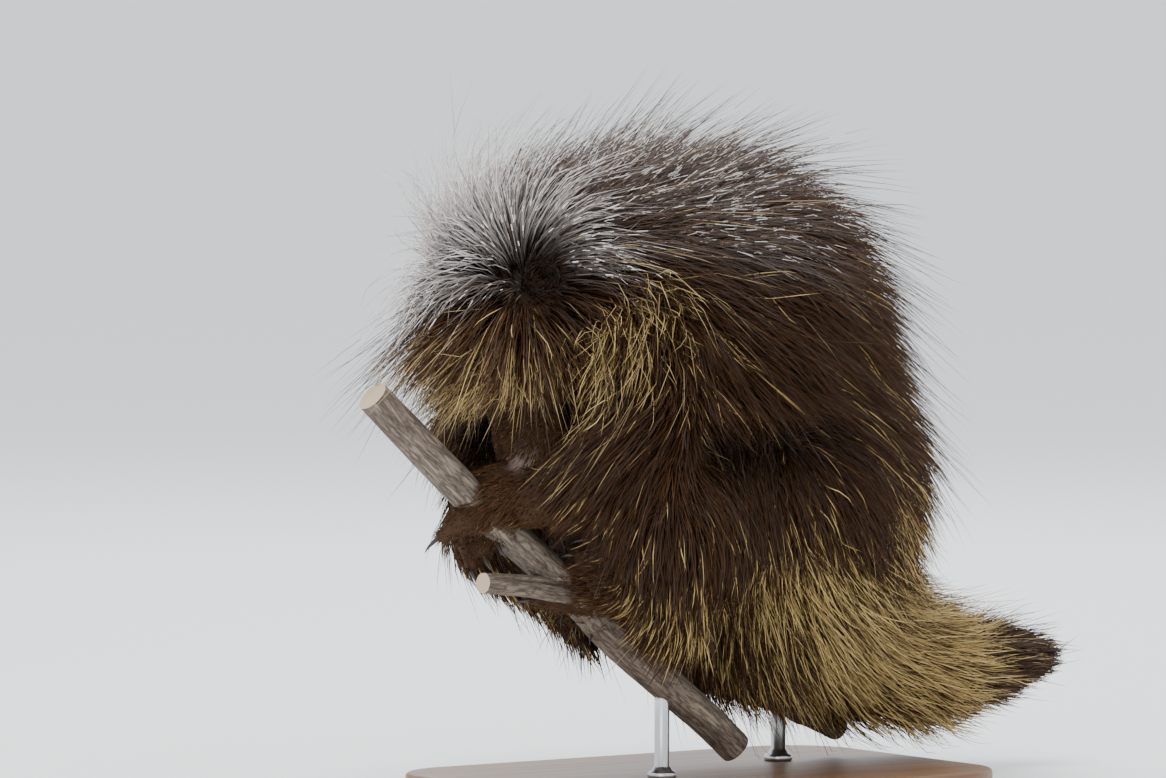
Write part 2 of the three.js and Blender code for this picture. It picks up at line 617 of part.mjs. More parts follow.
// Head and muzzle share one field. The lids stand round the eyes, the lips round the mouth.
function makeHead() {
  const { field, box } = CORES.head;
  const skull = surfaceOf(field, box, HEAD_CELL);
  const snout = surfaceOf(field, box, MUZZLE_CELL);

  let head = solidOf(skull);
  for (const [side, eye] of Object.entries(EYE_PLACES)) {
    const outward = headWay(0.1, 0.35, side === "left" ? 1 : -1).normalize();
    const globe = (radius) => solidOfGeometry(new THREE.SphereGeometry(radius, 10, 7).translate(...eye));
    const socket = globe(EYE_RADIUS + GAP);
    head = head.add(globe(EYE_RADIUS + LID_THICKNESS)).subtract(socket).subtract(lidOpening(eye, outward));
    addNode(`eye_${side}`, globe(EYE_RADIUS), socket, COLOURS.eye, 0.08);
  }
  const bare = [...Object.values(EYE_PLACES), ...Object.values(EAR_FEET)];
  const locks = growLocks("head", skull, (root) =>
    alongHead(root) > BARE.face || bare.some((spot) => spot.distanceTo(root) < BARE.eye));
  const below = (gap) => halfSpace(onHead(MUZZLE_SPLIT + gap, 0, 0), MUZZLE_WAY);
  const room = solidOf(grown(skull, GAP)).subtract(below(GAP / 2));
  const full = withLocks(head.subtract(below(-GAP / 2)), locks);
  addNode("head", cutClear(full), roomFor(room, locks), COLOURS.coat);

  const above = halfSpace(onHead(MUZZLE_SPLIT + GAP / 2, 0, 0), MUZZLE_WAY.clone().negate());
  const lipLine = (brow, radius) => {
    const points = [];
    for (let i = 0; i <= 6; i++) {
      const turn = Math.PI * (i / 6 - 0.5);
      const outward = headWay(Math.cos(turn), 0, Math.sin(turn));
      const point = onHead(MOUTH.along, brow, 0);
      for (let step = 0; step < 12; step++) point.addScaledVector(outward, -field(point));
      points.push(point.addScaledVector(outward, -0.4 * radius));
    }
    return solidOf(tubeAlong(points, points.map(() => radius), 4, BROW_WAY));
  };
  const lips = lipLine(MOUTH.brow + MOUTH.lip, MOUTH.lip).add(lipLine(MOUTH.brow - MOUTH.lip, MOUTH.lip));
  let muzzle = solidOf(snout).add(lips).subtract(lipLine(MOUTH.brow, MOUTH.line)).subtract(above);
  for (const side of [-1, 1]) {
    const nostril = new THREE.SphereGeometry(NOSTRIL.radius, 7, 5).scale(1, 1, 1.5);
    const place = onHead(NOSTRIL.along, NOSTRIL.brow, NOSTRIL.apart * side);
    muzzle = muzzle.subtract(solidOfGeometry(nostril.translate(...place)));
  }
  addNode("muzzle", cutClear(muzzle), solidOf(grown(snout, 2 * MOUTH.lip)), COLOURS.shortFur);
}

// Ear: a cup with a rounded rim, opening forwards and out, its foot sunk towards the skull.
function makeEars() {
  for (const [side, sign] of [["left", 1], ["right", -1]]) {
    const { length, radius, wall } = EAR;
    const cup = [];
    for (let i = 0; i <= 4; i++) {
      const turn = (i / 4) * (Math.PI / 2);
      cup.push(new THREE.Vector2(radius * Math.sin(turn), length * (1 - Math.cos(turn))));
    }
    for (let i = 4; i >= 0; i--) {
      const turn = (i / 4) * (Math.PI / 2);
      const deep = length - (length - 2 * wall) * Math.cos(turn);
      cup.push(new THREE.Vector2((radius - wall) * Math.sin(turn), deep));
    }
    const bowl = new THREE.LatheGeometry(cup, 9).scale(1, 1, 0.8);
    const up = headWay(-0.45, 0.3, 0.85 * sign).normalize();
    const forward = headWay(0.5, 0.8, 0.1 * sign).projectOnPlane(up).normalize();
    const turn = new THREE.Matrix4().makeBasis(up.clone().cross(forward), up, forward);
    const solid = solidOfGeometry(bowl.applyMatrix4(turn).translate(...EAR_FEET[side]));
    addNode(`ear_${side}`, cutClear(solid), solid, COLOURS.coat);
  }
}

// Neck, legs and tail: each a core with its locks, cut by what lies in front of it.
function makeCoated(name, colour) {
  const { mesh, solid, room } = coreOf(name);
  const locks = growLocks(name, mesh);
  addNode(name, cutClear(withLocks(solid, locks)), roomFor(room, locks), colour);
}

// Paw: a pad from heel to knuckles, toes that bend over the bark, and a curved claw on each.
function makePaws() {
  for (const [name, paw] of Object.entries(PAWS)) {
    const pad = [taper(paw.heel, paw.palm, 15, 15, 3), ball(paw.palm, paw.radii, 3)];
    const mesh = surfaceOf(fieldOf(pad, 1, 10), boxRound(pad, 1), PAW_CELL);
    const pieces = [solidOf(mesh)];
    const fat = [solidOf(grown(mesh, GAP))];
    for (let i = 0; i < paw.toes; i++) {
      const offset = paw.spread.clone().multiplyScalar(i - (paw.toes - 1) / 2);
      const root = paw.palm.clone().addScaledVector(offset, 1.1);
      const knuckle = root.clone().addScaledVector(paw.reach, 0.75).addScaledVector(offset, 0.25);
      const tip = knuckle.clone().addScaledVector(paw.reach, 0.35).addScaledVector(paw.bend, 0.5);
      const clawWay = paw.reach.clone().multiplyScalar(0.15).add(paw.bend).normalize();
      const clawMid = tip.clone().addScaledVector(clawWay, CLAW.length * 0.45);
      clawMid.addScaledVector(paw.reach.clone().normalize(), 3);
      const clawTip = tip.clone().addScaledVector(clawWay, CLAW.length);
      for (const [list, extra] of [[pieces, 0], [fat, GAP]]) {
        const toe = [TOE_RADIUS, TOE_RADIUS, TOE_RADIUS * 0.85].map((radius) => radius + extra);
        list.push(solidOf(tubeAlong([root, knuckle, tip], toe, 5)));
        const clawRadii = [CLAW.radius + extra, CLAW.radius * 0.75 + extra, 0];
        const knob = tip.clone().addScaledVector(clawWay, -4);
        list.push(solidOf(tubeAlong([knob, clawMid, clawTip], clawRadii, 4)));
      }
    }
    addNode(name, cutClear(joined(pieces)), joined(fat), COLOURS.shortFur);
  }
}

makePerch();
makeStand();
makeTrunk();
makeHead();
makeEars();
makeCoated("neck", COLOURS.coat);
for (const side of ["left", "right"]) {
  makeCoated(`foreleg_${side}`, COLOURS.goldenCoat);
  makeCoated(`hindleg_${side}`, COLOURS.coat);
}
makePaws();
makeCoated("tail", COLOURS.goldenCoat);

export default group;
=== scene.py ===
"""A porcupine asleep in the fork of a limb, life size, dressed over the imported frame. Metres, +Z up.
The animal faces -X and its left side is -Y."""

import math

import bmesh
import bpy
import numpy as np
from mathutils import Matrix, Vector
from mathutils.bvhtree import BVHTree
from mathutils.kdtree import KDTree


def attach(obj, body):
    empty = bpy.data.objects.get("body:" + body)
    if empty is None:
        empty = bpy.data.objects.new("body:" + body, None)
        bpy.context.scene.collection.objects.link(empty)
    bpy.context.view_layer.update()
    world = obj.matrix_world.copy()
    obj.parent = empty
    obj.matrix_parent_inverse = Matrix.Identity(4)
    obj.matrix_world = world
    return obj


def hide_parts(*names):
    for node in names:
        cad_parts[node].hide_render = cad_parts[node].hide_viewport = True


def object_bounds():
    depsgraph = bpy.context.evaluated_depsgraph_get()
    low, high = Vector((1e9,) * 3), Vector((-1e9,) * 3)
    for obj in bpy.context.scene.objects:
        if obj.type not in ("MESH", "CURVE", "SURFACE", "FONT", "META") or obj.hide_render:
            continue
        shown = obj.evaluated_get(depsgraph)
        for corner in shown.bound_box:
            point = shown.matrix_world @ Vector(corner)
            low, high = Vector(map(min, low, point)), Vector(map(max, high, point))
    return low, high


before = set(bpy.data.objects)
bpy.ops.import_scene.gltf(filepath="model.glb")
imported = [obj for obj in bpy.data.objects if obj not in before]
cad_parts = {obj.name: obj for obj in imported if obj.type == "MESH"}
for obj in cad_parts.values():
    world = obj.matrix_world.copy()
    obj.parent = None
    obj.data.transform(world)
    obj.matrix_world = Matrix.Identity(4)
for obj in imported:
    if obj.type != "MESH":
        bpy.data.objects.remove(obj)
cad_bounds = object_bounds()
scene = bpy.context.scene


# Studio
# A plain pale floor that runs out to a pale haze, so that no wall or edge shows behind the model. Three
# broad soft lamps light it, one from above, one from the front left and one from behind.
FLOOR_REACH = 500
LAMPS_AIM = Vector((0, 0, 0.28))
LAMPS = {
    "sky lamp": {"place": (-0.9, -0.5, 3.4), "size": 2.2, "watts": 105},
    "front lamp": {"place": (-2.6, -2.6, 1.2), "size": 2.0, "watts": 24},
    "back lamp": {"place": (1.8, 2.3, 2.6), "size": 1.8, "watts": 60},
}


def plain_paint(name, colour, roughness, metallic=0.0):
    paint = bpy.data.materials.new(name)
    paint.use_nodes = True
    shader = paint.node_tree.nodes["Principled BSDF"]
    shader.inputs["Base Color"].default_value = (*colour, 1)
    shader.inputs["Roughness"].default_value = roughness
    shader.inputs["Metallic"].default_value = metallic
    return paint


def placed(name, data):
    """A new object in the scene, which shows a mesh, a lamp or a camera."""
    thing = bpy.data.objects.new(name, data)
    scene.collection.objects.link(thing)
    return thing


floor_mesh = bpy.data.meshes.new("floor")
floor_corners = [(x * FLOOR_REACH, y * FLOOR_REACH, 0) for x, y in ((-1, -1), (1, -1), (1, 1), (-1, 1))]
floor_mesh.from_pydata(floor_corners, [], [(0, 1, 2, 3)])
floor_mesh.materials.append(plain_paint("pale floor", (0.93, 0.95, 0.96), 0.9))
floor = placed("floor", floor_mesh)

haze = bpy.data.worlds.new("haze")
haze.use_nodes = True
haze_light = haze.node_tree.nodes["Background"]
haze_light.inputs["Color"].default_value = (0.86, 0.88, 0.91, 1)
haze_light.inputs["Strength"].default_value = 1.4
scene.world = haze

for name, details in LAMPS.items():
    lamp = bpy.data.lights.new(name, "AREA")
    lamp.size = details["size"]
    lamp.energy = details["watts"]
    holder = placed(name, lamp)
    holder.location = details["place"]
    holder.rotation_euler = (LAMPS_AIM - holder.location).to_track_quat("-Z", "Y").to_euler()


# Camera
# A long lens a few steps away, level with the animal and off its front left. It frames the animal as the
# photograph does, with the tail's tip near the right edge and the stand cut off below.
AIM = Vector((-0.0767, 0.0537, 0.320))
AZIMUTH, ELEVATION, DISTANCE = math.radians(-35), math.radians(3.0), 7.0
FRAME_WIDTH = 0.933
lens = bpy.data.cameras.new("camera")
lens.sensor_width = 36
lens.lens = lens.sensor_width * DISTANCE / FRAME_WIDTH
lens.clip_end = 2000
camera = placed("camera", lens)
level, rise = math.cos(ELEVATION), math.sin(ELEVATION)
away = Vector((math.sin(AZIMUTH) * level, -math.cos(AZIMUTH) * level, rise))
camera.location = AIM + away * DISTANCE
camera.rotation_euler = (-away).to_track_quat("-Z", "Y").to_euler()
scene.camera = camera


# Body
# Flesh under the coat: masses of muscle and bone melted into one another, the same ones that the frame's
# solids are made of. They are fields: the distance of points from a ball, a taper or a whole part.
def ball(points, centre, radii, axes=None):
    q = points - np.array(centre)
    if axes is not None:
        q = q @ axes.T
    r = np.array(radii)
    near = np.linalg.norm(q / r, axis=1)
    slope = np.linalg.norm(q / (r * r), axis=1) + 1e-9
    return near * (near - 1) / slope


def taper(points, a, b, ra, rb):
    a, b = np.array(a), np.array(b)
    t = np.clip((points - a) @ (b - a) / ((b - a) @ (b - a)), 0, 1)
    return np.linalg.norm(points - a - t[:, None] * (b - a), axis=1) - (ra + (rb - ra) * t)


def melt(distances, width):
    """Fields joined into one, with a fillet of about this width where they meet."""
    result = distances[0]
    for other in distances[1:]:
        blend = np.maximum(width - np.abs(result - other), 0) / width
        result = np.minimum(result, other) - blend * blend * width / 4
    return result


HEAD_ORIGIN = np.array((-0.199, -0.025, 0.391))
MUZZLE_WAY = Vector((0.012, -0.198, -0.98)).normalized()
BROW_WAY = Vector((-0.985, -0.17, 0.022))
BROW_WAY = (BROW_WAY - MUZZLE_WAY * BROW_WAY.dot(MUZZLE_WAY)).normalized()
LEFT_WAY = BROW_WAY.cross(MUZZLE_WAY)
HEAD_AXES = np.array((MUZZLE_WAY, BROW_WAY, LEFT_WAY))


def on_head(along, brow, left):
    """A place on the head: along the muzzle, towards the brow and to its left, from between the ears."""
    return HEAD_ORIGIN + np.array((along, brow, left)) @ HEAD_AXES


def head_place(points):
    """The points in the head's own axes: along the muzzle, towards the brow, and to its left."""
    return (points - HEAD_ORIGIN) @ HEAD_AXES.T


TAIL_LINE = (
    (0.092, 0, 0.178), (0.158, 0, 0.106), (0.232, -0.002, 0.086), (0.296, -0.004, 0.088),
    (0.338, -0.006, 0.09),
)
TAIL_RADII = (0.046, 0.036, 0.027, 0.018, 0.009)
LEGS = {
    "left": {
        "shoulder": (-0.112, -0.07, 0.344), "elbow": (-0.124, -0.102, 0.28), "wrist": (-0.197, -0.06, 0.24),
        "hip": (0.03, -0.066, 0.24), "knee": (-0.11, -0.106, 0.222), "ankle": (-0.084, -0.062, 0.134),
    },
    "right": {
        "shoulder": (-0.112, 0.07, 0.344), "elbow": (-0.146, 0.084, 0.274), "wrist": (-0.206, 0.008, 0.248),
        "hip": (0.03, 0.066, 0.24), "knee": (-0.12, 0.098, 0.212), "ankle": (-0.058, 0.044, 0.14),
    },
}
PAWS = {
    "forepaw_left": {
        "heel": (-0.204, -0.054, 0.238), "palm": (-0.222, -0.042, 0.245), "radii": (0.022, 0.02, 0.014),
        "toes": 4, "reach": (-0.026, 0.002, -0.002), "bend": (-0.008, 0.014, -0.02),
        "spread": (0.008, 0, 0.009),
    },
    "forepaw_right": {
        "heel": (-0.208, 0, 0.244), "palm": (-0.206, -0.014, 0.232), "radii": (0.019, 0.018, 0.016),
        "toes": 4, "reach": (-0.02, -0.01, -0.016), "bend": (0.006, -0.014, -0.016),
        "spread": (0.007, -0.003, 0.008),
    },
    "hindfoot_left": {
        "heel": (-0.078, -0.056, 0.131), "palm": (-0.126, -0.055, 0.172), "radii": (0.025, 0.016, 0.017),
        "toes": 5, "reach": (-0.026, 0.004, 0.014), "bend": (-0.012, 0.016, -0.008),
        "spread": (0.006, -0.006, 0.009),
    },
    "hindfoot_right": {
        "heel": (-0.056, 0.036, 0.133), "palm": (-0.1, 0.008, 0.152), "radii": (0.024, 0.02, 0.014),
        "toes": 5, "reach": (-0.026, -0.012, 0.006), "bend": (-0.01, -0.006, -0.018),
        "spread": (-0.004, 0.009, 0.005),
    },
}


def toe_line(paw, number):
    """A toe's root, knuckle and tip, and which way its claw hooks."""
    palm, reach, bend, spread = (np.array(paw[key]) for key in ("palm", "reach", "bend", "spread"))
    offset = spread * (number - (paw["toes"] - 1) / 2)
    root = palm + offset * 1.1
    knuckle = root + reach * 0.75 + offset * 0.25
    tip = knuckle + reach * 0.35 + bend * 0.5
    way = reach * 0.15 + bend
    return root, knuckle, tip, way / np.linalg.norm(way)


# Every mass by the part of the body that it belongs to. A ball has its centre, three radii and axes, and a
# taper has its two ends and a radius at each.
MASSES = {
    "trunk": [
        ((-0.062, 0, 0.352), (0.08, 0.084, 0.092), None),
        ((0.01, 0, 0.346), (0.108, 0.1, 0.112), None),
        ((0.056, 0, 0.236), (0.098, 0.1, 0.126), None),
        ((-0.03, 0, 0.262), (0.078, 0.078, 0.092), None),
    ],
    "neck": [((-0.066, 0, 0.372), (-0.164, -0.012, 0.396), 0.078, 0.054)],
    "head": [
        (on_head(-0.002, 0, 0), (0.046, 0.038, 0.04), HEAD_AXES),
        (on_head(0.024, -0.01, 0.022), (0.03, 0.026, 0.02), HEAD_AXES),
        (on_head(0.024, -0.01, -0.022), (0.03, 0.026, 0.02), HEAD_AXES),
        (on_head(0.016, 0.004, 0), on_head(0.066, 0.002, 0), 0.034, 0.024),
        (on_head(0.066, 0.002, 0), on_head(0.102, 0.003, 0), 0.0225, 0.0175),
        (on_head(0.107, 0.006, 0), (0.0165, 0.015, 0.018), HEAD_AXES),
        (on_head(0.094, -0.011, 0), (0.019, 0.01, 0.013), HEAD_AXES),
        (on_head(0.097, -0.003, 0.01), (0.015, 0.0115, 0.01), HEAD_AXES),
        (on_head(0.097, -0.003, -0.01), (0.015, 0.0115, 0.01), HEAD_AXES),
    ],
    "tail": list(zip(TAIL_LINE, TAIL_LINE[1:], TAIL_RADII, TAIL_RADII[1:])),
}
for side, leg in LEGS.items():
    MASSES[f"foreleg_{side}"] = [
        (leg["shoulder"], leg["elbow"], 0.042, 0.028), (leg["elbow"], leg["wrist"], 0.026, 0.016),
    ]
    MASSES[f"hindleg_{side}"] = [
        (leg["hip"], leg["knee"], 0.064, 0.036), (leg["knee"], leg["ankle"], 0.034, 0.019),
    ]
for name, paw in PAWS.items():
    MASSES[name] = [(paw["heel"], paw["palm"], 0.016, 0.016), (paw["palm"], paw["radii"], None)]
    for number in range(paw["toes"]):
        root, knuckle, tip, _ = toe_line(paw, number)
        MASSES[name] += [(root, knuckle, 0.0072, 0.0066), (knuckle, tip, 0.0066, 0.0056)]

# How wide the fillets are inside each part, where the parts meet, and where the paws meet the legs.
LEG_FILLET, PAW_FILLET, BODY_FILLET, WRIST_FILLET = 0.022, 0.005, 0.026, 0.009
FILLETS = {"trunk": 0.036, "neck": 0.02, "head": 0.014, "tail": 0.014, **dict.fromkeys(PAWS, PAW_FILLET)}


def part_distances(points):
    """How far the points are from each part of the body, below nought inside it."""
    found = {}
    for name, lumps in MASSES.items():
        each = [ball(points, *lump) if len(lump) == 3 else taper(points, *lump) for lump in lumps]
        found[name] = melt(each, FILLETS.get(name, LEG_FILLET))
    return found


def flesh(points):
    """How far the points are from the whole body's flesh, below nought inside it."""
    parts = part_distances(points)
    body = melt([distance for name, distance in parts.items() if name not in PAWS], BODY_FILLET)
    return melt([body] + [parts[name] for name in PAWS], WRIST_FILLET)


def slope_of(field, points, step=0.0004):
    """Which way out of the field's surface, by differences."""
    ways = [field(points + np.eye(3)[i] * step) - field(points - np.eye(3)[i] * step) for i in range(3)]
    out = np.stack(ways, axis=1)
    return out / (np.linalg.norm(out, axis=1)[:, None] + 1e-12)


# Skin
# One closed skin from nose to tail. The masses are joined as balls, remeshed evenly, and each point is
# then moved onto the melted flesh. The muzzle and the lids get a finer mesh than the body.
EYE_RADIUS = 0.0065
EYES = {"left": on_head(0.05, 0.017, 0.0262), "right": on_head(0.05, 0.017, -0.0262)}
MESH_STEP = 0.0033
FACE_FROM, MUZZLE_FROM, LIDS_REACH = 0.03, 0.088, 0.016


def lumps_mesh():
    """All masses as one mesh of overlapping balls: each is the same small ball, stretched and placed."""
    pattern = bmesh.new()
    bmesh.ops.create_icosphere(pattern, subdivisions=3, radius=1)
    ring = np.array([corner.co for corner in pattern.verts])
    sides = np.array([[corner.index for corner in face.verts] for face in pattern.faces])
    pattern.free()
    corners, faces = [], []
    for lump in (lump for lumps in MASSES.values() for lump in lumps):
        if len(lump) == 3:
            centre, radii, axes = lump
            spots = [ring * radii @ (np.eye(3) if axes is None else axes) + centre]
        else:
            a, b, ra, rb = np.array(lump[0]), np.array(lump[1]), lump[2], lump[3]
            steps = max(2, math.ceil(np.linalg.norm(b - a) / (0.25 * min(ra, rb))))
            spots = [ring * (ra + (rb - ra) * t) + a + (b - a) * t for t in np.linspace(0, 1, steps + 1)]
        for spot in spots:
            faces.append(sides + len(ring) * len(corners))
            corners.append(spot)
    build = bpy.data.meshes.new("lumps")
    build.from_pydata(np.concatenate(corners), [], np.concatenate(faces).tolist())
    return placed("lumps", build)


def plain_copy(shape, name):
    """The object's mesh with its modifiers applied, and the object taken away."""
    mesh = bpy.data.meshes.new_from_object(shape.evaluated_get(bpy.context.evaluated_depsgraph_get()))
    mesh.name = name
    bpy.data.objects.remove(shape)
    return mesh


def read(items, key, kind=float, width=3):
    """One value of every item of a mesh, as the rows of an array."""
    found = np.empty(len(items) * width, kind)
    items.foreach_get(key, found)
    return found.reshape(-1, width)


def corners_of(mesh):
    return read(mesh.vertices, "co")


def settle(mesh, field, which):
    """Moves the chosen corners of a mesh onto the field's surface."""
    points = corners_of(mesh)
    chosen = points[which]
    points[which] = chosen - field(chosen)[:, None] * slope_of(field, chosen)
    mesh.vertices.foreach_set("co", points.ravel())
    mesh.update()


lumps = lumps_mesh()
remesh = lumps.modifiers.new("even", "REMESH")
remesh.mode = "VOXEL"
remesh.voxel_size = MESH_STEP
remesh.adaptivity = 0
skin_mesh = plain_copy(lumps, "skin")
for _ in range(2):
    settle(skin_mesh, flesh, slice(None))


def gentle(value, low, high):
    """Nought below low and one above high, with a soft rise between."""
    t = np.clip((value - low) / (high - low), 0, 1)
    return t * t * (3 - 2 * t)


def sharpen(mesh, wanted):
    """Splits the faces round the wanted corners in four, for finer forms there."""
    bm = bmesh.new()
    bm.from_mesh(mesh)
    bm.verts.ensure_lookup_table()
    edges = [edge for edge in bm.edges if wanted[edge.verts[0].index] and wanted[edge.verts[1].index]]
    bmesh.ops.subdivide_edges(bm, edges=edges, cuts=1, use_grid_fill=True)
    bm.to_mesh(mesh)
    bm.free()


def face_relief(points):
    """How far the face's skin stands out or sinks in: nostrils, the split lip and the mouth's line."""
    along, brow, left = head_place(points).T
    side = np.abs(left)
    nostril = (
        ((along - 0.1195) / 0.0042) ** 2 + ((brow - 0.0085) / 0.0034) ** 2 + ((side - 0.0078) / 0.0046) ** 2
    )
    relief = -0.0062 * np.exp(-nostril * 1.1)
    rim = np.exp(-((np.sqrt(nostril) - 1.75) / 0.5) ** 2)
    relief += 0.0011 * rim * (along > 0.105)
    droop = 0.006 * np.clip((0.112 - along) / 0.03, 0, 1)
    over_mouth = brow + 0.0072 + droop
    on_mouth = (along > 0.078) & (brow < 0.004)
    crease = -0.0021 * np.exp(-(over_mouth / 0.0011) ** 2)
    lips = 0.0010 * np.exp(-((np.abs(over_mouth) - 0.0028) / 0.0018) ** 2)
    relief += on_mouth * (crease + lips)
    cleft = (along > 0.108) & (brow < 0.006) & (brow > -0.009)
    relief -= 0.0013 * cleft * np.exp(-(left / 0.0012) ** 2)
    return relief


def closed_lids(points):
    """The skin round each eye, drawn over the ball as two lids that leave a narrow slit."""
    for side, sign in (("left", 1), ("right", -1)):
        eye = EYES[side]
        outwards = np.array((0.1, 0.35, sign)) @ HEAD_AXES
        outwards /= np.linalg.norm(outwards)
        slit_way = np.array((1, 0.25, 0)) @ HEAD_AXES
        slit_way -= outwards * (slit_way @ outwards)
        slit_way /= np.linalg.norm(slit_way)
        across = np.cross(outwards, slit_way)
        near = np.nonzero(np.linalg.norm(points - eye, axis=1) < 0.02)[0]
        from_eye = points[near] - eye
        far = np.linalg.norm(from_eye, axis=1)
        facing = from_eye @ outwards / (far + 1e-9)
        drawn = gentle(facing, 0.1, 0.5)
        height = from_eye @ across + 0.001
        half_open = 0.0016 * np.clip(1 - (from_eye @ slit_way / 0.0068) ** 2, 0, 1)
        opening = gentle(half_open + 0.0003 - np.abs(height), 0, 0.0006)
        fold = 0.0006 * np.exp(-((np.abs(height) - 0.0042) / 0.0009) ** 2)
        target = EYE_RADIUS + 0.0012 - fold - 0.0026 * opening
        points[near] = eye + from_eye * (1 + (target / (far + 1e-9) - 1) * drawn)[:, None]
    return points


def on_face(start):
    """Which corners of the skin are on the face, from this far along the muzzle."""
    along, brow, left = head_place(corners_of(skin_mesh)).T
    return (along > start) & (along < 0.14) & (np.abs(brow) < 0.05) & (np.abs(left) < 0.05)


def nearest_distance(points, places):
    """How far each point is from the nearest of the places."""
    return np.min([np.linalg.norm(points - place, axis=1) for place in places], axis=0)


for start in (FACE_FROM, MUZZLE_FROM):
    sharpen(skin_mesh, on_face(start))
    settle(skin_mesh, flesh, on_face(start))
sharpen(skin_mesh, nearest_distance(corners_of(skin_mesh), EYES.values()) < LIDS_REACH)
points = corners_of(skin_mesh)
near_face = np.nonzero(on_face(FACE_FROM))[0]
out_of_face = slope_of(flesh, points[near_face])
points[near_face] += out_of_face * face_relief(points[near_face])[:, None]
points = closed_lids(points)
skin_mesh.vertices.foreach_set("co", points.ravel())
skin_mesh.update()
skin_mesh.polygons.foreach_set("use_smooth", np.ones(len(skin_mesh.polygons), bool))
skin = placed("skin", skin_mesh)

# The unwrap that every coat piece's own map is laid out on.
bpy.context.view_layer.objects.active = skin
skin.select_set(True)
bpy.ops.object.mode_set(mode="EDIT")
bpy.ops.mesh.select_all(action="SELECT")
bpy.ops.uv.smart_project(angle_limit=math.radians(66), island_margin=0.002)
bpy.ops.object.mode_set(mode="OBJECT")
skin.select_set(False)
skin_mesh.uv_layers[0].name = "OFBake"
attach(skin, "root")
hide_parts("head", "muzzle", "neck", "torso", "rump", "foreleg_left", "foreleg_right", "hindleg_left",
            "hindleg_right", "forepaw_left", "forepaw_right", "hindfoot_left", "hindfoot_right", "tail")


# Markings and painted shade
# The animal is a brown near to black, with straw tips in patches: shoulders, thighs and above all the root
# of the tail. The forehead is rusty and the feet are a warmer brown, and frost greys the crown and nape.
# Painted shade darkens the coat where shade falls under the mantle's overhang, in the crease above the
# haunch, on the chest under the head and beside the ears. Each patch has its place on the right side, its
# reach and its strength, and the left side mirrors it.
GOLD_PATCHES = (
    ((-0.15, 0.08, 0.378), 0.042, 0.6), ((-0.09, 0.092, 0.345), 0.04, 0.24),
    ((-0.18, 0.09, 0.262), 0.035, 0.16),
    ((-0.105, 0.1, 0.16), 0.04, 0.5), ((0.0, 0.1, 0.175), 0.05, 0.75), ((0.08, 0.04, 0.13), 0.07, 0.98),
    ((0.17, 0.0, 0.09), 0.065, 0.95), ((0.11, 0.088, 0.24), 0.035, 0.4), ((0.05, 0.085, 0.155), 0.05, 0.85),
)
# Painted shade: patches where the coat is darkened to stand for shade under overhanging hair and in creases
# and hollows.
PAINTED_SHADE_PATCHES = (
    ((-0.08, 0.1, 0.3), 0.034, 0.9), ((-0.03, 0.11, 0.295), 0.036, 0.8), ((-0.141, 0.0, 0.316), 0.05, 0.9),
    ((-0.205, 0.058, 0.415), 0.017, 1.0), ((0.03, 0.1, 0.285), 0.036, 0.3), ((-0.07, 0.1, 0.225), 0.035, 0.5),
)
FROST_FREE_PATCH = ((-0.152, 0.085, 0.385), 0.055, 0.92)


def to_right(points):
    """The points, with those on the left brought over to the right side."""
    return points * (1, 0, 1) + np.abs(points) * (0, 1, 0)


def nearness(points, centre, reach, keen=1.0):
    """One at the centre, and falling off softly over the reach."""
    return np.exp(-(np.linalg.norm(points - centre, axis=1) / reach) ** 2 * keen)


def markings(points, outs, parts):
    """How golden, frosted and warm the coat is at points on the skin, and how far it is left unshaded by
    painted shade, each from 0 to 1. The painted shade also dims the other three.
    """
    right = to_right(points)
    gold, dark = np.full(len(points), 0.03), np.zeros(len(points))
    for centre, reach, strength in GOLD_PATCHES:
        gold = np.maximum(gold, strength * nearness(right, centre, reach, 0.8))
    for centre, reach, strength in PAINTED_SHADE_PATCHES:
        dark = np.maximum(dark, strength * nearness(right, centre, reach))
    gold *= 1 - 0.45 * gentle(-outs[:, 2], 0.2, 0.8) * gentle(0.2 - points[:, 2], 0, 0.04)
    along, brow, left = head_place(points).T
    at_head = gentle(0.02 - parts["head"], 0, 0.02)
    forehead = at_head * gentle(brow, -0.01, 0.02) * gentle(along, -0.012, 0.012)
    forehead *= gentle(0.085 - along, 0, 0.02)
    far_side = gentle(0.016 - left, 0, 0.02)
    straw_band = gentle(along, 0.02 - 0.02 * far_side, 0.055 - 0.02 * far_side)
    gold = np.maximum(gold, (0.32 + 0.34 * straw_band) * forehead)
    crown = at_head * gentle(-0.001 - along, 0, 0.022) * gentle(brow + 0.6 * np.abs(left), -0.03, 0.02)
    back = gentle(points[:, 2], 0.385, 0.43) * gentle(outs[:, 2] - 0.4 * outs[:, 0], 0.2, 0.8)
    back *= gentle(0.12 - points[:, 0], 0, 0.2)
    frost = np.maximum(0.16 * back * (1 - at_head), crown)
    free_place, free_reach, freedom = FROST_FREE_PATCH
    frost *= 1 - freedom * nearness(right, free_place, free_reach)
    feet = np.min([parts[name] for name in PAWS], axis=0)
    forearm = np.minimum(parts["foreleg_left"], parts["foreleg_right"])
    forearm += 0.03 * gentle(points[:, 2], 0.27, 0.32)
    warm = np.maximum(gentle(0.02 - feet, 0, 0.02), 0.5 * gentle(0.012 - forearm, 0, 0.012))
    warm = np.maximum(warm, at_head * (0.3 + 0.3 * gentle(along, 0.05, 0.09)))
    warm = np.maximum(np.maximum(warm, 0.95 * forehead), 0.22)
    # Painted shade: the share of its colour and tone that the coat keeps where the shade patches fall.
    unshaded = 1 - dark
    return gold * (1 - 0.8 * dark), frost * unshaded, warm * unshaded, unshaded


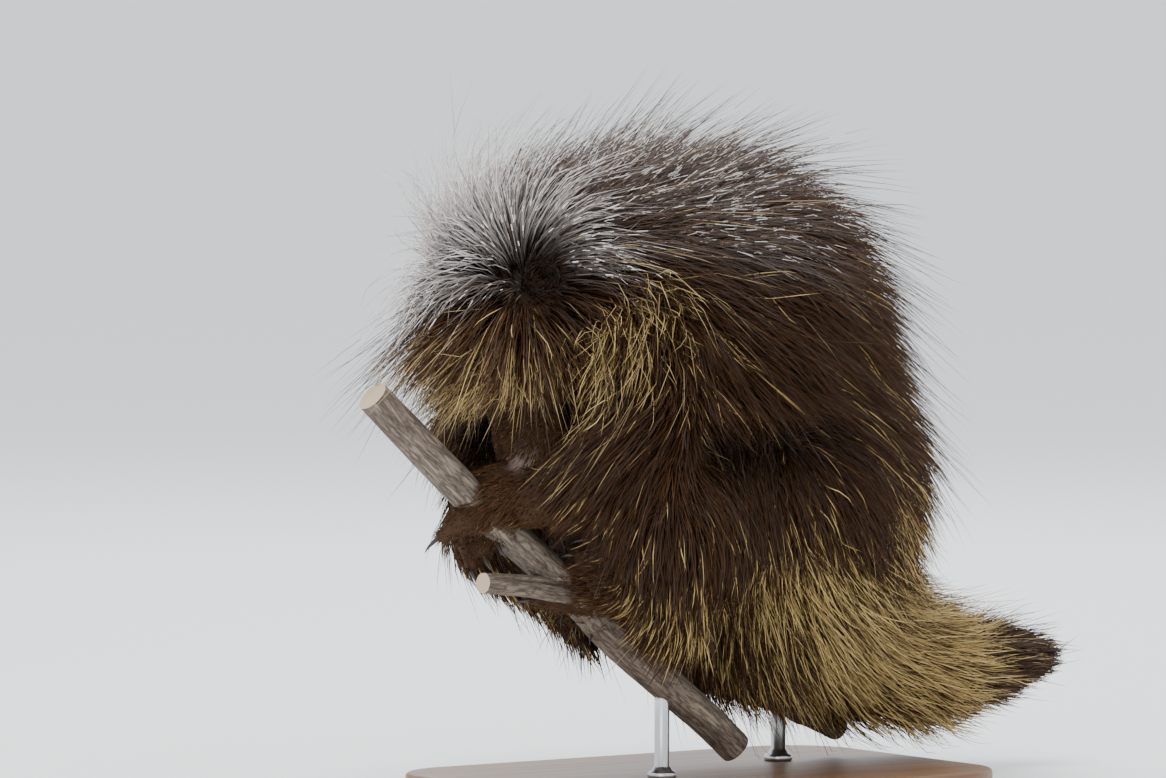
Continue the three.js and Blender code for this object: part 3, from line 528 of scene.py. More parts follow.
# Coat
# Long stiff guard hairs over dense dark wool. Each grows out of the skin and lies back from the nearest
# ear, along the back, away from a whorl on each haunch, and down the legs and the tail.
SEED = 20437
SHARES = np.random.default_rng(SEED)
BACK_LINE = np.array((
    (-0.15, 0, 0.43), (-0.06, 0, 0.452), (0.02, 0, 0.46), (0.11, 0, 0.4), (0.165, 0, 0.28), (0.15, 0, 0.15),
))
WHORL = (0.012, 0.116, 0.288)
TAIL_ROOT = (0.105, 0, 0.125)
EARS = {"left": on_head(-0.006, 0.016, 0.04), "right": on_head(-0.006, 0.016, -0.04)}
COURSE_STEPS = 8

# The coat keeps within the solids' box, let out by a share of its size and by a little more.
BOX_SHARE, BOX_MORE = 0.03, 0.009
solids_box = np.array(cad_bounds)
low_and_high = np.array(((-1.0,), (1.0,)))
COAT_BOX = solids_box + (solids_box[1] - solids_box[0]) * (low_and_high * BOX_SHARE) + low_and_high * BOX_MORE


def unit(ways):
    """The same ways, each at a length of one."""
    return ways / (np.linalg.norm(ways, axis=1)[:, None] + 1e-9)


def along_line(line, points):
    """Which way a line runs at the stretch of it nearest to each point."""
    t = np.linspace(0, len(line) - 1, 60)
    spots = np.stack([np.interp(t, np.arange(len(line)), line[:, k]) for k in range(3)], axis=1)
    runs = unit(np.gradient(spots, axis=0))
    near = np.argmin(((points[:, None, :] - spots[None]) ** 2).sum(axis=2), axis=1)
    return runs[near]


def lie_of(points, parts):
    """Which way the coat lies near each point, blended from the lie on each part of the body."""
    down = np.array((0, 0, -1.0))
    flank = np.minimum(1, np.abs(points[:, 1]) / 0.13)[:, None]
    back = along_line(BACK_LINE, points) + down * 0.9 * flank
    left_side = points[:, 1] < 0
    whorl = points - np.where(left_side[:, None], np.array(WHORL) * (1, -1, 1), WHORL)
    haunch = unit(whorl) * 0.45 + down * 0.8 + np.array((0.35, 0, 0))
    place = head_place(points)
    ear = np.where((place[:, 2] > 0)[:, None], EARS["left"], EARS["right"])
    face = unit(points - ear) + HEAD_AXES[0] * 0.3 + down * 0.12
    swept = (gentle(0.036 - place[:, 2], 0, 0.02) * gentle(place[:, 0], -0.004, 0.02))[:, None]
    face = unit(face) * (1 - 0.85 * swept) + (HEAD_AXES[0] * 0.45 - HEAD_AXES[2]) * swept
    tail = along_line(np.array(TAIL_LINE), points) + down * 0.04
    ways = {"trunk": back, "neck": back, "head": face, "tail": tail}
    for side, leg in LEGS.items():
        upper = unit(np.array([leg["elbow"]]) - leg["shoulder"])
        lower = unit(np.array([leg["wrist"]]) - leg["elbow"])
        below = gentle(np.linalg.norm(points - leg["shoulder"], axis=1), 0.04, 0.09)[:, None]
        ways[f"foreleg_{side}"] = upper * (1 - below) + lower * below + down * 0.4
        shank = gentle(np.linalg.norm(points - leg["hip"], axis=1), 0.11, 0.17)[:, None]
        calf = unit(np.array([leg["ankle"]]) - leg["knee"]) + down * 0.3
        ways[f"hindleg_{side}"] = haunch * (1 - shank) + calf * shank
    for name, paw in PAWS.items():
        toes_way = np.array([paw["reach"]]) + np.array(paw["bend"]) * 0.4
        ways[name] = np.repeat(unit(toes_way), len(points), axis=0)
    nearest = np.min([parts[name] for name in ways], axis=0)
    total = np.zeros((len(points), 3))
    for name, way in ways.items():
        total += unit(way) * np.exp(-(parts[name] - nearest) / 0.012)[:, None]
    to_tail = np.exp(-(np.linalg.norm((points - TAIL_ROOT) * (1, 0.6, 1), axis=1) / 0.09) ** 2)[:, None]
    total = unit(total) + np.array((1.8, 0, -0.15)) * to_tail
    reach = np.linalg.norm(whorl, axis=1)
    near_whorl = 0.55 * np.exp(-(reach / 0.06) ** 2)[:, None]
    return unit(unit(total) * (1 - near_whorl) + unit(whorl) * near_whorl)


def coat_sizes(points, outs, parts):
    """Length of the guard hair and how steeply it stands, in radians, at points on the skin."""
    along, brow, left = head_place(points).T
    up, low = np.clip(outs[:, 2], -1, 1), np.clip(-outs[:, 2], 0, 1)
    skirt = low * gentle(points[:, 0], -0.05, 0.02) * gentle(0.12 - points[:, 0], 0, 0.06)
    forehead = gentle(brow - 0.4 * np.abs(left), -0.005, 0.02)
    close = 0.02 * gentle(along, 0.055, 0.08)
    on_forehead = np.clip(0.096 - along - close, 0.006, 0.096)
    on_cheek = np.clip(0.072 - 0.95 * along - close, 0.006, 0.085)
    forehead_stand = np.clip(1.2 - 6 * along, 0.35, 1.15)
    cheek_stand = np.clip(0.8 - 8 * along, 0.25, 1.1)
    sizes = {
        "trunk": (0.074 + 0.016 * up + 0.012 * skirt, 0.74 + 0.16 * up + 0.5 * skirt),
        "neck": (0.08 + 0.016 * up, 0.7 + 0.3 * up),
        "head": (
            on_cheek + (on_forehead - on_cheek) * forehead,
            cheek_stand * (1 - forehead) + forehead_stand * forehead,
        ),
        "tail": (0.078 - 0.048 * gentle(points[:, 0], 0.12, 0.35), np.full(len(points), 0.34)),
    }
    total, length, stand = 1e-9, 0, 0
    nearest = np.min([parts[name] for name in parts if name not in PAWS], axis=0)
    for side, leg in LEGS.items():
        down_arm = gentle(np.linalg.norm(points - leg["shoulder"], axis=1), 0.05, 0.15)
        sizes[f"foreleg_{side}"] = (0.06 - 0.038 * down_arm, np.full(len(points), 0.4))
        down_leg = gentle(np.linalg.norm(points - leg["hip"], axis=1), 0.1, 0.24)
        sizes[f"hindleg_{side}"] = (0.064 - 0.034 * down_leg, np.full(len(points), 0.42))
    for name, (long, steep) in sizes.items():
        weight = np.exp(-(parts[name] - nearest) / 0.012)
        total, length, stand = total + weight, length + weight * long, stand + weight * steep
    length, stand = length / total, stand / total
    right = to_right(points)
    at_whorl = nearness(right, WHORL, 0.05)
    at_ear = np.exp(-(nearest_distance(points, EARS.values()) / 0.019) ** 4)
    side_on = gentle(right[:, 1], 0.05, 0.08) * gentle(points[:, 0], -0.14, -0.1)
    side_on *= gentle(0.04 - points[:, 0], 0, 0.05)
    mantle_edge = side_on * np.exp(-((points[:, 2] - 0.352) / 0.024) ** 2)
    under_edge = side_on * np.exp(-((points[:, 2] - 0.29) / 0.03) ** 2)
    length = length * (1 - 0.2 * at_whorl) * (1 - 0.8 * at_ear) * (1 - 0.5 * under_edge) + 0.01 * mantle_edge
    stand = stand * (1 - 0.5 * at_whorl) * (1 - 0.6 * under_edge) + 0.3 * mantle_edge
    feet = np.array([parts[name] for name in PAWS])
    palms = np.array([paw["palm"] for paw in PAWS.values()])[np.argmin(feet, axis=0)]
    short = 0.013 - 0.008 * gentle(np.linalg.norm(points - palms, axis=1), 0.022, 0.034)
    return short + (length - short) * gentle(feet.min(axis=0), 0.004, 0.022), stand


skin_mesh.calc_loop_triangles()
corner_places = corners_of(skin_mesh)
outward = read(skin_mesh.vertices, "normal")
triangles = read(skin_mesh.loop_triangles, "vertices", int)
triangle_loops = read(skin_mesh.loop_triangles, "loops", int)
unwrap = read(skin_mesh.uv_layers["OFBake"].data, "uv", width=2)
edges_ab = corner_places[triangles[:, 1]] - corner_places[triangles[:, 0]]
edges_ac = corner_places[triangles[:, 2]] - corner_places[triangles[:, 0]]
triangle_areas = np.linalg.norm(np.cross(edges_ab, edges_ac), axis=1) / 2
skin_parts = part_distances(corner_places)
skin_lengths, skin_stands = coat_sizes(corner_places, outward, skin_parts)
skin_marks = np.stack(markings(corner_places, outward, skin_parts), axis=1)


def roots_on_skin(count, weights):
    """Seeded places on the skin, more of them where the weights at its corners are high."""
    shares = triangle_areas * weights[triangles].mean(axis=1)
    picked = SHARES.choice(len(triangles), count, p=shares / shares.sum())
    a, b = SHARES.random((2, count))
    a, b = np.where(a + b > 1, 1 - a, a), np.where(a + b > 1, 1 - b, b)
    mix = np.stack([1 - a - b, a, b], axis=1)

    def blended(values, index):
        return (values[index[picked]] * mix[..., None]).sum(axis=1)

    return {
        "at": blended(corner_places, triangles),
        "out": unit(blended(outward, triangles)),
        "uv": blended(unwrap, triangle_loops),
        "mark": blended(skin_marks, triangles),
        "length": blended(skin_lengths[:, None], triangles)[:, 0],
        "stand": blended(skin_stands[:, None], triangles)[:, 0],
    }


NEIGHBOURS = [(i, j, k) for i in (-1, 0, 1) for j in (-1, 0, 1) for k in (-1, 0, 1)]


def spread_out(places, apart):
    """The indices of the places that keep at least this far from one another, first come first served."""
    kept, taken = [], {}
    for index, place in enumerate(places):
        x, y, z = (place // apart).astype(int)
        near = [taken.get((x + i, y + j, z + k), []) for i, j, k in NEIGHBOURS]
        if all(np.sum((places[other] - place) ** 2) > apart * apart for group in near for other in group):
            taken.setdefault((x, y, z), []).append(index)
            kept.append(index)
    return np.array(kept)


# Guide hairs: a few thousand evenly spread courses, walked step by step round the flesh. All other hairs
# follow the nearest ones.
GUIDE_TRIALS, GUIDE_GAP = 9000, 0.0095
guides = roots_on_skin(GUIDE_TRIALS, np.ones(len(corner_places)))
even = spread_out(guides["at"], GUIDE_GAP)
guides = {key: values[even] for key, values in guides.items()}
perch_shape = BVHTree.FromObject(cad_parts["perch_limb"], bpy.context.evaluated_depsgraph_get())

# No part of the limb is higher up or further out to a side than this.
PERCH_TOP, PERCH_HALF_WIDTH = 0.36, 0.09


def clear_of_perch(points, gap):
    """Moves the points that are in the limb, or nearer to it than the gap, out to the gap."""
    for index in np.nonzero((points[:, 2] < PERCH_TOP) & (np.abs(points[:, 1]) < PERCH_HALF_WIDTH))[0]:
        near, out, _, distance = perch_shape.find_nearest(Vector(points[index]), 0.03)
        if near is not None:
            inside = (Vector(points[index]) - near).dot(out) < 0
            if inside or distance < gap:
                points[index] = near + out * gap
    return points


def walk_guides():
    """The guides' courses: each leaves the skin steeply, bends over and then keeps a little way off it."""
    at = guides["at"].copy()
    course = [at.copy()]
    step = guides["length"] / COURSE_STEPS
    for number in range(COURSE_STEPS):
        done = number / COURSE_STEPS
        parts = part_distances(at)
        out = slope_of(flesh, at)
        lie = lie_of(at, parts)
        lie = unit(lie - out * (lie * out).sum(axis=1)[:, None])
        at_head = gentle(0.012 - parts["head"], 0, 0.012)
        steep = guides["stand"] * (1.25 - (0.75 - 0.45 * at_head) * done)
        way = lie * np.cos(steep)[:, None] + out * np.sin(steep)[:, None]
        held_up = 0.2 * gentle(at[:, 0], 0.03, 0.09) * gentle(0.2 - at[:, 2], 0, 0.04)
        way[:, 2] -= done * (0.25 - 0.15 * at_head - held_up)
        at = at + unit(way) * step[:, None]
        low = 0.0015 + 0.006 * (number + 1) / COURSE_STEPS * np.minimum(1, guides["length"] / 0.05)
        sunk = np.maximum(0, low - flesh(at))
        at = at + out * sunk[:, None]
        course.append(at.copy())
    return np.stack(course, axis=1)


guide_courses = walk_guides()
guide_finder = KDTree(len(guides["at"]))
for index, place in enumerate(guides["at"]):
    guide_finder.insert(place, index)
guide_finder.balance()


def courses_from(roots, lengths, ring_shares, stray, clump, wave):
    """Courses of hairs through the given shares of their length: they follow the three nearest guides,
    draw together into locks towards the nearest one, and stray and wave a little, each in its own way."""
    count = len(roots["at"])
    three_nearest = [guide_finder.find_n(place, 3) for place in roots["at"]]
    near = np.array([[found[1:] for found in three] for three in three_nearest])
    index, distance = near[..., 0].astype(int), near[..., 1]
    pull = 1 / (distance + 0.002) ** 2
    pull /= pull.sum(axis=1)[:, None]
    runs = guide_courses - guide_courses[:, :1]
    guide_lengths = guides["length"]
    own_run = (runs[index] * pull[..., None, None]).sum(axis=1)
    scale = lengths / np.maximum((guide_lengths[index] * pull).sum(axis=1), 0.004)
    lock = guide_courses[index[:, 0]]
    apart = roots["at"] - guides["at"][index[:, 0]]
    shares = np.array(ring_shares)
    at_steps = np.clip(shares[None] * scale[:, None] * COURSE_STEPS, 0, None)
    low = np.minimum(at_steps.astype(int), COURSE_STEPS - 1)
    rest = (at_steps - low)[..., None]

    def along(run):
        rows = np.arange(count)[:, None]
        return run[rows, low] * (1 - rest) + run[rows, low + 1] * rest

    free = roots["at"][:, None] + along(own_run)
    locked = along(lock) + apart[:, None] * (1 - 0.75 * shares[None, :, None])
    pulls = (clump * SHARES.uniform(0.4, 1.2, count))[:, None, None] * shares[None, :, None] ** 1.1
    course = free + (locked - free) * np.clip(pulls, 0, 1)
    drift = unit(SHARES.normal(size=(count, 3)))
    course += drift[:, None] * (stray * lengths)[:, None, None] * shares[None, :, None] ** 1.5
    swing = unit(SHARES.normal(size=(count, 3)))
    phase = SHARES.uniform(0, 6.3, count)[:, None]
    turns = SHARES.uniform(2.5, 5.5, count)[:, None]
    bend = np.sin(phase + turns * shares[None]) - np.sin(phase)
    course += swing[:, None] * (bend * (wave * lengths)[:, None] * shares[None] ** 0.7)[..., None]
    return course


# How wide and high a hair's own patch of the unwrap is.
HAIR_PATCH = 0.003


def carry(mesh, name, kind, key, values):
    """Gives every corner of a mesh its own value, which the mesh's paint reads."""
    mesh.attributes.new(name, kind, "POINT").data.foreach_set(key, values.ravel().astype(np.float32))


def finished(name, mesh, slot_name, *nodes):
    """Puts a mesh into the scene as a smooth piece that takes the place of the named nodes."""
    mesh.polygons.foreach_set("use_smooth", np.ones(len(mesh.polygons), bool))
    mesh.update()
    piece = placed(name, mesh)
    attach(piece, "root")
    if nodes:
        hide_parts(*nodes)


def hair_piece(name, roots, course, widths, shares, slot_name, material):
    """Joined three-sided hairs, each a closed tapering spike with its patch of the unwrap and its marks."""
    count, rings = course.shape[0], course.shape[1] - 1
    run = np.gradient(course, axis=1)
    run /= np.linalg.norm(run, axis=2)[..., None] + 1e-9
    across = np.cross(run, roots["out"][:, None] + 0.01)
    across /= np.linalg.norm(across, axis=2)[..., None] + 1e-9
    over = np.cross(across, run)
    places = np.empty((count, rings * 3 + 1, 3))
    for corner, (wide, deep) in enumerate(((0.5, -0.2), (-0.5, -0.2), (0, 0.5))):
        spot = course[:, :-1] + across[:, :-1] * (wide * widths)[..., None]
        places[:, corner:rings * 3:3] = spot + over[:, :-1] * (deep * widths)[..., None]
    places[:, -1] = course[:, -1]
    faces, spots = [(0, 2, 1)], [((0, 0), (1, 0), (0.5, 0))]
    for ring in range(rings - 1):
        low, high = shares[ring], shares[ring + 1]
        for side in range(3):
            a, b = ring * 3 + side, ring * 3 + (side + 1) % 3
            u, v = side / 3, (side + 1) / 3
            faces += [(a, b, b + 3), (a, b + 3, a + 3)]
            spots += [((u, low), (v, low), (v, high)), ((u, low), (v, high), (u, high))]
    for side in range(3):
        a, b = (rings - 1) * 3 + side, (rings - 1) * 3 + (side + 1) % 3
        faces.append((a, b, rings * 3))
        spots.append(((side / 3, shares[-2]), ((side + 1) / 3, shares[-2]), (side / 3 + 1 / 6, 1)))
    faces, spots = np.array(faces), np.array(spots, float)
    index = faces[None] + (np.arange(count) * (rings * 3 + 1))[:, None, None]
    mesh = bpy.data.meshes.new(name)
    mesh.vertices.add(count * (rings * 3 + 1))
    mesh.vertices.foreach_set("co", places.ravel().astype(np.float32))
    mesh.loops.add(index.size)
    mesh.loops.foreach_set("vertex_index", index.ravel().astype(np.int32))
    mesh.polygons.add(count * len(faces))
    mesh.polygons.foreach_set("loop_start", np.arange(0, index.size, 3, dtype=np.int32))
    mesh.update(calc_edges=True)
    patch = roots["uv"][:, None, None] + (spots[None] - 0.5) * HAIR_PATCH
    mesh.uv_layers.new(name="OFBake").data.foreach_set("uv", patch.ravel().astype(np.float32))
    steps = np.append(np.repeat(shares[:-1], 3), 1.0)
    carry(mesh, "along", "FLOAT", "value", np.tile(steps, count))
    tints = np.concatenate([roots["mark"], roots["tone_and_shade"][:, None]], axis=1)
    carry(mesh, "mark", "FLOAT_COLOR", "color", np.repeat(tints, rings * 3 + 1, axis=0))
    mesh.materials.append(material)
    finished(name, mesh, slot_name)


def feed(paint, socket, value):
    """Sets a paint's socket to a number, a colour or a place, or links another node's output to it."""
    if isinstance(value, bpy.types.NodeSocket):
        paint.node_tree.links.new(value, socket)
    elif socket.type == "RGBA":
        socket.default_value = (*value, 1)
    else:
        socket.default_value = value


def add_node(paint, kind, output, inputs, **settings):
    """Adds a node to a paint, with its settings and what its inputs are fed. Gives the named output."""
    node = paint.node_tree.nodes.new(f"ShaderNode{kind}")
    for key, value in settings.items():
        setattr(node, key, value)
    for key, value in inputs.items():
        feed(paint, node.inputs[key], value)
    return node.outputs[output]


def reckon(paint, operation, *terms):
    """Works out a sum on numbers and on other nodes' outputs."""
    return add_node(paint, "Math", "Value", dict(enumerate(terms)), operation=operation)


def ramp(paint, value, low, high):
    """Nought below low and one above high, with a soft rise between."""
    inputs = {"From Min": low, "From Max": high, "Value": value}
    return add_node(paint, "MapRange", "Result", inputs, interpolation_type="SMOOTHSTEP")


def mixed(paint, share, first, second, blend="MIX"):
    """The first colour, with this share of the second laid over it."""
    inputs = {"Factor": share, "A": first, "B": second}
    return add_node(paint, "Mix", "Result", inputs, data_type="RGBA", blend_type=blend)


def fur_paint(name, dark, brown, gold, frost, gold_from, roughness):
    """Paint of a hair: dark at the root, browner outwards, and straw or frost towards the tip if marked."""
    paint = bpy.data.materials.new(name)
    paint.use_nodes = True
    along = add_node(paint, "Attribute", "Fac", {}, attribute_name="along")
    mark = add_node(paint, "Attribute", "Color", {}, attribute_name="mark").node
    parts = add_node(paint, "SeparateColor", "Red", {"Color": mark.outputs["Color"]}).node
    golden, frosty, warm = (parts.outputs[part] for part in ("Red", "Green", "Blue"))
    # The mark's channels are dimmed by painted shade, and its alpha is the hair's own tone times its unshaded
    # share: where shade is painted, the hair keeps close to its dark colour.
    tone_and_shade = mark.outputs["Alpha"]
    browner = reckon(paint, "MULTIPLY_ADD", warm, 0.6, reckon(paint, "MULTIPLY", tone_and_shade, 0.4))
    coat = mixed(paint, browner, dark, brown)
    outer = reckon(paint, "MULTIPLY_ADD", tone_and_shade, 0.5, 0.15)
    coat = mixed(paint, reckon(paint, "MULTIPLY", ramp(paint, along, 0.1, 1.0), outer), coat, brown)
    tipped = reckon(paint, "MULTIPLY", golden, ramp(paint, along, gold_from, gold_from + 0.3))
    coat = mixed(paint, tipped, coat, gold)
    hazy = reckon(paint, "POWER", frosty, 1.1)
    haze_of_frost = reckon(paint, "MULTIPLY", hazy, ramp(paint, along, 0.0, 0.55))
    own_share = reckon(paint, "FRACT", reckon(paint, "MULTIPLY", tone_and_shade, 7.3))
    fleck_at = reckon(paint, "MULTIPLY_ADD", own_share, 0.45, 0.5)
    off_fleck = reckon(paint, "ABSOLUTE", reckon(paint, "SUBTRACT", along, fleck_at))
    on_fleck = reckon(paint, "LESS_THAN", off_fleck, 0.045)
    fleck = reckon(paint, "MULTIPLY", on_fleck, reckon(paint, "GREATER_THAN", frosty, 0.085))
    whitened = reckon(paint, "MAXIMUM", haze_of_frost, reckon(paint, "MULTIPLY", fleck, 0.95))
    shader = paint.node_tree.nodes["Principled BSDF"]
    feed(paint, shader.inputs["Base Color"], mixed(paint, whitened, coat, frost))
    feed(paint, shader.inputs["Roughness"], roughness)
    feed(paint, shader.inputs["Specular IOR Level"], 0.18)
    return paint


# Four layers of the long coat: wool, guard hair, curled straw hair, and a few finer hairs that stand out
# beyond it. Each is sown over the whole skin and then parted into pieces by where its hairs grow.
FROST, DULL_FROST = (0.86, 0.8, 0.77), (0.2, 0.17, 0.15)
guard_paint = fur_paint("guard hair", dark=(0.009, 0.005, 0.003), brown=(0.085, 0.034, 0.01),
                        gold=(0.6, 0.42, 0.15), frost=FROST, gold_from=0.36, roughness=0.5)
wool_paint = fur_paint("wool", dark=(0.006, 0.0035, 0.002), brown=(0.042, 0.019, 0.008),
                       gold=(0.2, 0.12, 0.05), frost=DULL_FROST, gold_from=0.5, roughness=0.75)
curl_paint = fur_paint("curled hair", dark=(0.03, 0.016, 0.008), brown=(0.11, 0.055, 0.022),
                       gold=(0.66, 0.49, 0.2), frost=FROST, gold_from=0.3, roughness=0.45)
stray_paint = fur_paint("stray hair", dark=(0.02, 0.013, 0.01), brown=(0.085, 0.052, 0.033),
                        gold=(0.5, 0.36, 0.16), frost=FROST, gold_from=0.3, roughness=0.45)
short_paint = fur_paint("short fur", dark=(0.011, 0.006, 0.003), brown=(0.1, 0.045, 0.017),
                        gold=(0.4, 0.26, 0.11), frost=FROST, gold_from=0.4, roughness=0.55)

REGIONS = (
    "head_left", "head_right", "neck", "back", "flank_left", "flank_right",
    "haunch_left", "haunch_right", "belly", "forelegs", "tail",
)
REGION_OF_PART = {
    "neck": "neck", "tail": "tail", "foreleg_left": "forelegs", "foreleg_right": "forelegs",
    "hindleg_left": "haunch_left", "hindleg_right": "haunch_right",
}


def region_of(points):
    """Which piece of the coat a hair belongs to, as an index into REGIONS."""
    parts = part_distances(points)
    names = [name for name in parts if name not in PAWS]
    nearest = np.argmin([parts[name] for name in names], axis=0)
    label = np.where(points[:, 1] < 0, REGIONS.index("flank_left"), REGIONS.index("flank_right"))
    label[(points[:, 2] > 0.4) | (points[:, 0] > 0.11)] = REGIONS.index("back")
    label[points[:, 2] < 0.2] = REGIONS.index("belly")
    for name, region in REGION_OF_PART.items():
        label[nearest == names.index(name)] = REGIONS.index(region)
    face_left = head_place(points)[:, 2] > 0
    at_head = nearest == names.index("head")
    label[at_head] = np.where(face_left, REGIONS.index("head_left"), REGIONS.index("head_right"))[at_head]
    return label


# A layer of more hairs than this is parted by region, and a smaller one into front and rear. The gaps are
# what a hair keeps from the skin and the bark, and its lowest place.
MANY_HAIRS = 10000
ROOT_DEPTH, SKIN_GAP, BARK_GAP, LOWEST_HAIR = 0.002, 0.001, 0.0015, 0.02


def coat_layer(layer, count, weights, *, width, length, shares, stray, clump, wave, lift=0.0,
               slot_name, material, goldness=1.0, spared=0.0):
    """Sows one kind of hair over the skin and makes its pieces. The widths are at the rings of a hair, and
    the shares say how far along it they stand. The length is a range of shares of the coat's own."""
    roots = roots_on_skin(count, weights)
    curly = gentle(roots["at"][:, 2], 0.21, 0.27) * gentle(0.05 - roots["at"][:, 0], 0, 0.06)
    golden = SHARES.random(count) < roots["mark"][:, 0] * goldness * (1 - spared * curly)
    roots["mark"][:, 0] = golden * SHARES.uniform(0.55, 1.0, count)
    roots["mark"][:, 1] *= SHARES.uniform(0.1, 1.0, count) ** (0.9 - 0.6 * roots["mark"][:, 1])
    # A hair's tone is its own random tone, dimmed where painted shade falls at its root.
    roots["tone_and_shade"] = SHARES.random(count) * roots["mark"][:, 3]
    roots["mark"] = roots["mark"][:, :3]
    lengths = roots["length"] * SHARES.uniform(*length, count)
    fluffy = gentle(-0.09 - roots["at"][:, 0], 0, 0.05) * gentle(roots["at"][:, 2], 0.3, 0.34)
    clump, wave = clump * (1 - 0.75 * fluffy), wave * (0.35 + 0.65 * curly)
    course = courses_from(roots, lengths, shares, stray, clump, wave)
    rising = (np.array(shares) ** 1.2)[None, :, None]
    course += roots["out"][:, None] * (lengths * lift)[:, None, None] * rising
    course[:, 0] = roots["at"] - roots["out"] * ROOT_DEPTH
    flat = course[:, 1:].reshape(-1, 3)
    depth = np.maximum(0, SKIN_GAP - flesh(flat))
    deep = np.nonzero(depth > 0)[0]
    flat[deep] += slope_of(flesh, flat[deep]) * depth[deep, None]
    course[:, 1:] = clear_of_perch(flat, BARK_GAP).reshape(course[:, 1:].shape)
    course[..., 2] = np.maximum(course[..., 2], LOWEST_HAIR)
    reach = course[:, -1] - course[:, 0]
    to_box = np.where(reach > 0, COAT_BOX[1] - course[:, 0], course[:, 0] - COAT_BOX[0])
    room = to_box / (np.abs(reach) + 1e-9)
    course = course[:, :1] + (course - course[:, :1]) * np.clip(room.min(axis=1), 0, 1)[:, None, None]
    slim = SHARES.uniform(0.7, 1.3, count)[:, None] * np.minimum(1, 0.45 + lengths / 0.06)[:, None]
    widths = np.array(width)[None] * slim
    if count > MANY_HAIRS:
        names, region = REGIONS, region_of(roots["at"])
    else:
        names, region = ("front", "rear"), (roots["at"][:, 0] > -0.1).astype(int)
    for number, name in enumerate(names):
        own = np.nonzero(region == number)[0]
        if len(own):
            own_roots = {key: values[own] for key, values in roots.items()}
            hair_piece(f"{layer}_{name}", own_roots, course[own], widths[own], shares, slot_name, material)


long_coat = gentle(skin_lengths, 0.012, 0.03)
coat_layer("wool", 9000, long_coat, width=(0.0034, 0.0034, 0.0024), length=(0.3, 0.5),
           shares=(0, 0.4, 0.75, 1), stray=0.2, clump=0.3, wave=0.03, lift=0.05,
           slot_name="dark_coat", material=wool_paint, goldness=0.4)
coat_layer("guard", 50000, long_coat, width=(0.0011, 0.0013, 0.0009), length=(0.65, 1.12),
           shares=(0, 0.36, 0.7, 1), stray=0.17, clump=0.3, wave=0.05,
           slot_name="dark_coat", material=guard_paint, spared=0.75)
curled = long_coat * (0.03 + np.clip(skin_marks[:, 0] - 0.15, 0, 1))
coat_layer("curl", 8000, curled, width=(0.0006, 0.0008, 0.0008, 0.0007, 0.0005), length=(0.55, 1.05),
           shares=(0, 0.2, 0.42, 0.64, 0.84, 1), stray=0.34, clump=0.1, wave=0.19, lift=0.06,
           slot_name="golden_coat", material=curl_paint, goldness=2.0)
crowned = 1 + 2.5 * gentle(0.01 - skin_parts["head"], 0, 0.01)
flare = (gentle(outward[:, 2] - 0.5 * outward[:, 0], -0.5, 0.8) * crowned + 0.15) * long_coat
coat_layer("stray", 5000, flare, width=(0.0005, 0.0005, 0.0005, 0.0004), length=(1.05, 1.7),
           shares=(0, 0.25, 0.5, 0.78, 1), stray=0.16, clump=0.0, wave=0.02, lift=0.12,
           slot_name="golden_coat", material=stray_paint)


# Short fur
# Close velvety fur on the muzzle, round the eyes and on the feet: a fine nap of the skin itself, with small
# tufts that break its outline. The end of the nose is bare and paler.
short_coat = (1 - gentle(skin_lengths, 0.012, 0.03)) + 0.02
along, brow, left = head_place(corner_places).T
nose_bare = np.exp(-(((along - 0.121) / 0.01) ** 2 + ((brow - 0.008) / 0.012) ** 2 + (left / 0.014) ** 2))
on_muzzle = (along > 0.045) & (skin_parts["head"] < 0.01)
fine_tufts = short_coat * (1 - 0.97 * np.minimum(1, nose_bare * 2)) * np.where(on_muzzle, 2.2, 1.0)
coat_layer("short", 18000, fine_tufts, width=(0.0011, 0.0009), length=(0.7, 1.4), shares=(0, 0.5, 1),
           stray=0.2, clump=0.15, wave=0.02, slot_name="short_fur", material=short_paint, goldness=0.5)


def noise(paint, place, scale, detail, roughness=0.5):
    inputs = {"Vector": place, "Scale": scale, "Detail": detail, "Roughness": roughness}
    return add_node(paint, "TexNoise", "Fac", inputs)


def bumped(paint, height, strength, depth):
    """Raises a paint's surface by a pattern."""
    bump = add_node(paint, "Bump", "Normal", {"Strength": strength, "Distance": depth, "Height": height})
    feed(paint, paint.node_tree.nodes["Principled BSDF"].inputs["Normal"], bump)


# The skin carries the same marks, dimmed by painted shade, and half its unshaded share as its tone, so
# painted shade darkens the furred skin too.
carry(skin_mesh, "mark", "FLOAT_COLOR", "color", skin_marks * (1, 1, 1, 0.5))
carry(skin_mesh, "nose", "FLOAT", "value", nose_bare)
skin_mesh.attributes.new("along", "FLOAT", "POINT")
skin_paint = fur_paint("furred skin", dark=(0.009, 0.006, 0.004), brown=(0.06, 0.028, 0.013),
                       gold=(0.2, 0.12, 0.05), frost=(0.2, 0.18, 0.17), gold_from=0.4, roughness=0.65)
skin_colour = skin_paint.node_tree.nodes["Principled BSDF"].inputs["Base Color"]
bare = add_node(skin_paint, "Attribute", "Fac", {}, attribute_name="nose")
feed(skin_paint, skin_colour, mixed(skin_paint, bare, skin_colour.links[0].from_socket, (0.34, 0.265, 0.22)))
skin_place = add_node(skin_paint, "TexCoord", "Object", {})
bumped(skin_paint, noise(skin_paint, skin_place, 900, 4), strength=0.5, depth=0.0006)
skin_mesh.materials.append(skin_paint)


